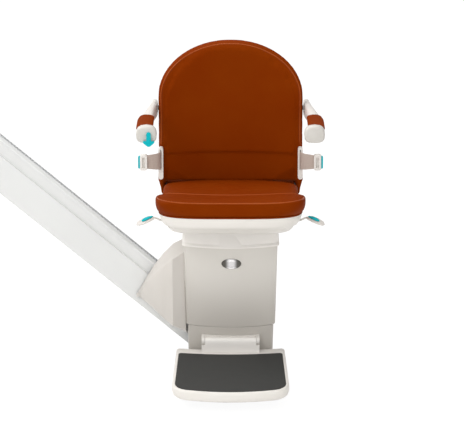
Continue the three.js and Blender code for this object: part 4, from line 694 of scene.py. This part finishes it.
def laid_on(piece, points, sunk_mm):
    """Points brought onto a cushion's skin, then drawn smooth; they end up sunk_mm under it."""
    skin = skin_of(piece)
    placed = []
    for point in points:
        spot, normal, _, _ = skin.find_nearest(point)
        placed.append(spot - normal * sunk_mm * MM)
    for _ in range(4):
        inner = [(a + 2 * b + c) / 4 for a, b, c in zip(placed, placed[1:], placed[2:])]
        placed = placed[:1] + inner + placed[-1:]
    return placed


def seam_path(name, points):
    mesh = bpy.data.meshes.new(name)
    mesh.from_pydata([tuple(point) for point in points], [(i, i + 1) for i in range(len(points) - 1)], [])
    return link_object(name, mesh)


def piping_tree():
    """Piping: a round cord in its leatherette sleeve, swept along the seam it is given."""
    tree = bpy.data.node_groups.new("seam piping", "GeometryNodeTree")
    for name, kind in (("Seam", "NodeSocketGeometry"), ("Cord radius", "NodeSocketFloat"),
                       ("Step", "NodeSocketFloat"), ("Finish", "NodeSocketMaterial")):
        tree.interface.new_socket(name, in_out="INPUT", socket_type=kind)
    tree.interface.new_socket("Piping", in_out="OUTPUT", socket_type="NodeSocketGeometry")
    given = add_node(tree, "NodeGroupInput").outputs
    seam = add_node(tree, "GeometryNodeMeshToCurve", {"Mesh": given["Seam"]})
    even = add_node(tree, "GeometryNodeResampleCurve", {"Curve": seam.outputs[0], "Length": given["Step"]},
                    mode="LENGTH")
    profile = add_node(tree, "GeometryNodeCurvePrimitiveCircle", {"Resolution": 10,
                                                                  "Radius": given["Cord radius"]})
    swept = add_node(tree, "GeometryNodeCurveToMesh", {"Curve": even.outputs[0], "Fill Caps": True,
                                                       "Profile Curve": profile.outputs[0]})
    smooth = add_node(tree, "GeometryNodeSetShadeSmooth", {"Geometry": swept.outputs[0]})
    real = add_node(tree, "GeometryNodeRealizeInstances", {"Geometry": smooth.outputs[0]})
    done = add_node(tree, "GeometryNodeSetMaterial", {"Geometry": real.outputs[0],
                                                      "Material": given["Finish"]})
    add_node(tree, "NodeGroupOutput", {"Piping": done.outputs[0]})
    return tree


def stitch_tree():
    """Lock stitches: short beads of thread, end to end along the seam it is given."""
    tree = bpy.data.node_groups.new("lock stitches", "GeometryNodeTree")
    for name, kind in (("Seam", "NodeSocketGeometry"), ("Pitch", "NodeSocketFloat"),
                       ("Thread radius", "NodeSocketFloat"), ("Stitch share", "NodeSocketFloat"),
                       ("Finish", "NodeSocketMaterial")):
        tree.interface.new_socket(name, in_out="INPUT", socket_type=kind)
    tree.interface.new_socket("Stitches", in_out="OUTPUT", socket_type="NodeSocketGeometry")
    given = add_node(tree, "NodeGroupInput").outputs
    seam = add_node(tree, "GeometryNodeMeshToCurve", {"Mesh": given["Seam"]})
    spots = add_node(tree, "GeometryNodeCurveToPoints", {"Curve": seam.outputs[0], "Length": given["Pitch"]},
                     mode="LENGTH")
    bead = add_node(tree, "GeometryNodeMeshIcoSphere", {"Radius": given["Thread radius"], "Subdivisions": 1})
    span = add_node(tree, "ShaderNodeMath", {0: given["Pitch"], 1: given["Stitch share"]},
                    operation="MULTIPLY")
    long = add_node(tree, "ShaderNodeMath", {0: span.outputs[0], 1: given["Thread radius"]},
                    operation="DIVIDE")
    scale = add_node(tree, "ShaderNodeCombineXYZ", {"X": 1.0, "Y": 1.0, "Z": long.outputs[0]})
    placed = add_node(tree, "GeometryNodeInstanceOnPoints", {"Points": spots.outputs["Points"],
                                                             "Instance": bead.outputs[0],
                                                             "Rotation": spots.outputs["Rotation"],
                                                             "Scale": scale.outputs[0]})
    real = add_node(tree, "GeometryNodeRealizeInstances", {"Geometry": placed.outputs[0]})
    done = add_node(tree, "GeometryNodeSetMaterial", {"Geometry": real.outputs[0],
                                                      "Material": given["Finish"]})
    add_node(tree, "NodeGroupOutput", {"Stitches": done.outputs[0]})
    return tree


def sewing_thread():
    """Bonded polyester thread, brown, with the twist of its plies drawn 3 mm apart so that it shows."""
    material, tree, shader, place = surface("brown sewing thread", "#6b2406", 0.6, ior=1.5)
    plies = add_node(tree, "ShaderNodeTexWave", {"Vector": place, "Scale": 1 / (9 * MM), "Distortion": 1.0},
                     bands_direction="DIAGONAL")
    relief(tree, shader, plies.outputs["Fac"], 0.15, 0.6)
    tint(tree, shader, place, "#702806", "#5a1c04", 4)
    return material


def piped(name, piece, points, body, radius_mm, sunk_mm, cover=None):
    """Piping sewn along points of a cushion's skin, or just through them, riding with it."""
    cord = seam_path(name, laid_on(piece, points, sunk_mm) if piece else points)
    grow(cord, cord_tree, {"Cord radius": radius_mm * MM, "Step": 4 * MM,
                           "Finish": cover or painted_highlight_piping})
    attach(cord, body)


def stitched(name, piece, points, body):
    """A row of 4.5 mm stitches along points of a cushion's skin, riding with it."""
    row = seam_path(name, laid_on(piece, points, 0.1))
    grow(row, stitches_tree, {"Pitch": 4.5 * MM, "Thread radius": 0.45 * MM, "Stitch share": 0.42,
                              "Finish": thread})
    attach(row, body)


seam_half, roll_half = 196, 221


def across_seat(x, offset):
    """The seam across the top: it runs back a little towards the sides."""
    share = x / seam_half
    return seat_place(x, 74 + offset + 42 * share ** 2, 62 - 6 * share ** 4)


def round_roll(half, run, power):
    """Places round the front roll from shoulder to shoulder, each as x and distance back."""
    steps, start, sweep = 160, 192, 156
    places = [box_point(math.radians(start + sweep * i / steps), half, run, power) for i in range(steps + 1)]
    return [(x, y + seat_mid) for x, y in places]


cord_tree = piping_tree()
stitches_tree = stitch_tree()
thread = sewing_thread()
seat_pad = seat_form()
stuffed(seat_pad, 5, 3, seat_keep)
seat_pad.data.materials.append(leather)
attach(seat_pad, "seat")
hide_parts("seat_cushion")
top_seam = [across_seat(x, 0) for x in range(-seam_half, seam_half + 1, 7)]
top_row = [across_seat(x, 5) for x in range(6 - seam_half, seam_half - 5, 5)]
edge = [seat_place(x, u, 45 + 3 * abs(x / roll_half) ** 3) for x, u in round_roll(roll_half, 178, 5.4)]
welt = [seat_place(x * seat_waist(u), u, 0.2) for x, u in round_roll(217, 174.2, 3.9)]
piped("seat_top_piping", seat_pad, top_seam, "seat", 2.0, 0.7)
stitched("seat_top_stitches", seat_pad, top_row, "seat")
piped("seat_edge_piping", seat_pad, edge, "seat", 2.2, 0.8)
piped("seat_foot_welt", None, welt, "seat", 2.6, 0, leather)


# Backrest: a moulded pad that wraps forward at the sides, in the same leatherette with piping just
# inside its edge, on a white shell screwed to the frame. Its foot has a notch for the seat.

back_top, back_widest, wing_foot, back_wide = 993, 831, 516, 224
back_foot_y, back_foot_z, back_lean = 17.5, 557.5, 0.13
half_thick = 17


def back_half(z):
    """Half the pad's width at z: an ellipse above, nearly straight wings below, drawn in at their feet."""
    if z > back_widest:
        return back_wide * math.sqrt(max(0, 1 - ((z - back_widest) / (back_top - back_widest)) ** 2))
    wing = back_wide + 0.5 + 2 * ease(z, 600, 575)
    return wing - 8.5 * ease(z, 572, 538) - 3 * ease(z, 534, wing_foot)


def back_surface(x, z, offset):
    """How far back the pad lies at x and z, in millimetres; offset is the depth into it."""
    wrap = 34 * min(1, 0.45 + (996 - z) / 260)
    return back_foot_y + back_lean * (z - back_foot_z) + offset - wrap * abs(x / back_wide) ** 2.5


def leaned_block(name, x0, x1, y0, y1, z0, z1):
    """A block whose front and back lean as the backrest does, to cut its pad with."""
    corners = [(x * MM, (y + back_lean * (z - back_foot_z)) * MM, z * MM)
               for x in (x0, x1) for y in (y0, y1) for z in (z0, z1)]
    faces = [(0, 1, 3, 2), (4, 6, 7, 5), (0, 4, 5, 1), (2, 3, 7, 6), (0, 2, 6, 4), (1, 5, 7, 3)]
    mesh = bpy.data.meshes.new(name)
    mesh.from_pydata(corners, [], faces)
    return link_object(name, mesh)


def back_form():
    """The pad's rows from the wings' feet to the crown, less the seat's notch and the bezels' pockets."""
    wing_rows, crown_rows, steps, rounding = 28, 26, 84, 14
    heights = [wing_foot + (back_widest - wing_foot) * i / wing_rows for i in range(wing_rows + 1)]
    heights += [back_widest + (back_top - back_widest) * math.sin(math.pi / 2 * i / crown_rows)
                for i in range(1, crown_rows)]
    rings = []
    for i, z in enumerate(heights):
        from_end = min((z - wing_foot) / rounding, (back_top - z) / rounding)
        edge = min(1, 0.5 + 0.5 * math.sqrt(max(0, from_end)))
        half = back_half(z) - (3 if i == 0 else 0)
        ring = []
        for step in range(steps):
            x, depth = box_point(2 * math.pi * step / steps, half, half_thick * edge, 4)
            ring.append((x * MM, back_surface(x, z, half_thick + depth) * MM, z * MM))
        rings.append(ring)
    pad = ring_skin(rings, "back_pad")
    for cutter in (leaned_block("notch", -204, 204, -200, 200, 300, 536),
                   leaned_block("pocket_right", 208, 240, -60, -3.6, 573, 676),
                   leaned_block("pocket_left", -240, -208, -60, -3.6, 573, 676)):
        taken = pad.modifiers.new("cut", "BOOLEAN")
        taken.operation = "DIFFERENCE"
        taken.object = cutter
        settle(pad)
        bpy.data.objects.remove(cutter)
    return pad


def back_keep(old, new):
    """Only the front swells: the pad's back, its foot and the bezels' pockets stay as they are, and the
    front of the foot is dished, which leaves room for the folded seat."""
    x, z = old.x / MM, old.z / MM
    depth = old.y / MM - back_surface(x, z, 0)
    foot_top, dish_top = 562, 650
    if z < foot_top and abs(x) < 206:
        room = 17.2 + 9 * ease(z, foot_top, 540)
        return Vector((old.x, max(old.y, room * MM), old.z))
    if z < dish_top and abs(x) < 212 and depth < 8:
        room = 10 - 14 * ease(z, foot_top, dish_top) - 40 * ease(abs(x), 200, 212)
        return Vector((old.x, max(old.y, room * MM), old.z))
    if depth > 14 or z < foot_top or (abs(x) > 200 and 566 < z < 684):
        return old
    return Vector((new.x, min(new.y, old.y), new.z))


def back_rim(turn, inset):
    """A point of the piping's line, from turn 0 at the right, over the crown, to pi at the left."""
    x = (back_wide - inset) * math.cos(turn)
    z = back_widest + (back_top - back_widest - inset * 0.3) * math.sin(turn)
    return Vector((x * MM, (back_surface(x, z, 0) - 2) * MM, z * MM))


back_pad = back_form()
stuffed(back_pad, 5, 5, back_keep)
back_pad.data.materials.append(leather)
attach(back_pad, "swivel")
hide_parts("backrest_cushion")
for name, inset in (("back_piping", 7), ("back_stitches", 13)):
    left = []
    for z in range(680, back_widest, 6):
        x = back_half(z) - inset
        left.append(Vector((-x * MM, (back_surface(x, z, 0) - 2) * MM, z * MM)))
    line = left + [back_rim(math.pi * (1 - i / 120), inset) for i in range(121)]
    line += [Vector((-point.x, point.y, point.z)) for point in reversed(left)]
    if name == "back_piping":
        piped(name, back_pad, line, "swivel", 1.7, 0.5)
    else:
        stitched(name, back_pad, line, "swivel")
shell = eased("backrest_shell", white_abs, 0.6, 40)
screwed("shell_screws", shell, [((x, 300, z), (0, -1, 0)) for x in (-165, 165) for z in (610, 700, 880)],
        "swivel", 4.5)


# Lap belt: white bezels in the wings, grey-brown webbing, a tongue on one side and a buckle on the
# other with a teal release button.

def belt_webbing():
    """Polyester belt webbing: taupe, woven in ribs that run along it, drawn 3 mm apart so that they show."""
    material, tree, shader, place = surface("taupe belt webbing", "#c0b1a7", 0.85, ior=1.5)
    ribs = add_node(tree, "ShaderNodeTexWave", {"Vector": place, "Scale": 1 / (10 * MM), "Distortion": 0.6},
                    bands_direction="Z")
    tint(tree, shader, place, "#c5b6ac", "#b6a79d", 3)
    relief(tree, shader, ribs.outputs["Fac"], 0.3, 0.7)
    return material


webbing = belt_webbing()
for side in ("left", "right"):
    eased(f"belt_bezel_{side}", white_abs, 0.5)
    eased(f"belt_webbing_{side}", webbing, 0.2, 50)
eased("belt_buckle", white_abs, 0.6)
eased("belt_tongue", white_abs, 0.6)
eased("buckle_button", teal, 0.5)
eased("tongue_tip", teal, 0.5)


# Arms: curved mouldings on the pivots behind the backrest, with padded tops, white end caps and the
# arrow-shaped direction toggle under the left one.

def arm_rest(side, way):
    """The padded top: a half-round roll of foam, full in the middle and rounded at both ends."""
    arm_x, rear, length, low = 253.5, -152, 136, 812.4
    rows, steps = 32, 36
    rings = []
    for i in range(rows + 1):
        y = rear - length * (1 - math.cos(math.pi * i / rows)) / 2
        ends = min(1, (rear - 0.4 - y) / 12, (y - rear + length + 0.4) / 9)
        full = math.sqrt(max(0.02, 1 - (1 - max(0, ends)) ** 2))
        half, tall = 25 * (0.5 + 0.5 * full), 8.2 * (0.45 + 0.55 * full)
        taper = 1 - 0.35 * (1 - min(1, max(0, (rear - y) / 60))) ** 2
        ring = []
        for step in range(steps):
            a, b = box_point(2 * math.pi * step / steps, half, tall, 2.1)
            a *= taper if a > 0 else 1
            ring.append((way * (arm_x + a) * MM, y * MM, (low + tall + b) * MM))
        rings.append(ring)
    pad = ring_skin(rings, f"arm_rest_{side}")
    pad.data.shade_smooth()
    pad.data.materials.append(leather)
    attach(pad, body_of[f"arm_pad_{side}"])
    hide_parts(f"arm_pad_{side}")


cap_abs = moulded_abs("arm cap moulded ABS", "#d0ccc6", "#cac6c0", 0.5)
for side, way in (("left", -1), ("right", 1)):
    eased(f"arm_{side}", grey_abs, 0, 60)
    eased(f"arm_cap_{side}", cap_abs, 0, 60)
    arm_rest(side, way)
eased("direction_toggle", teal, 0.6)
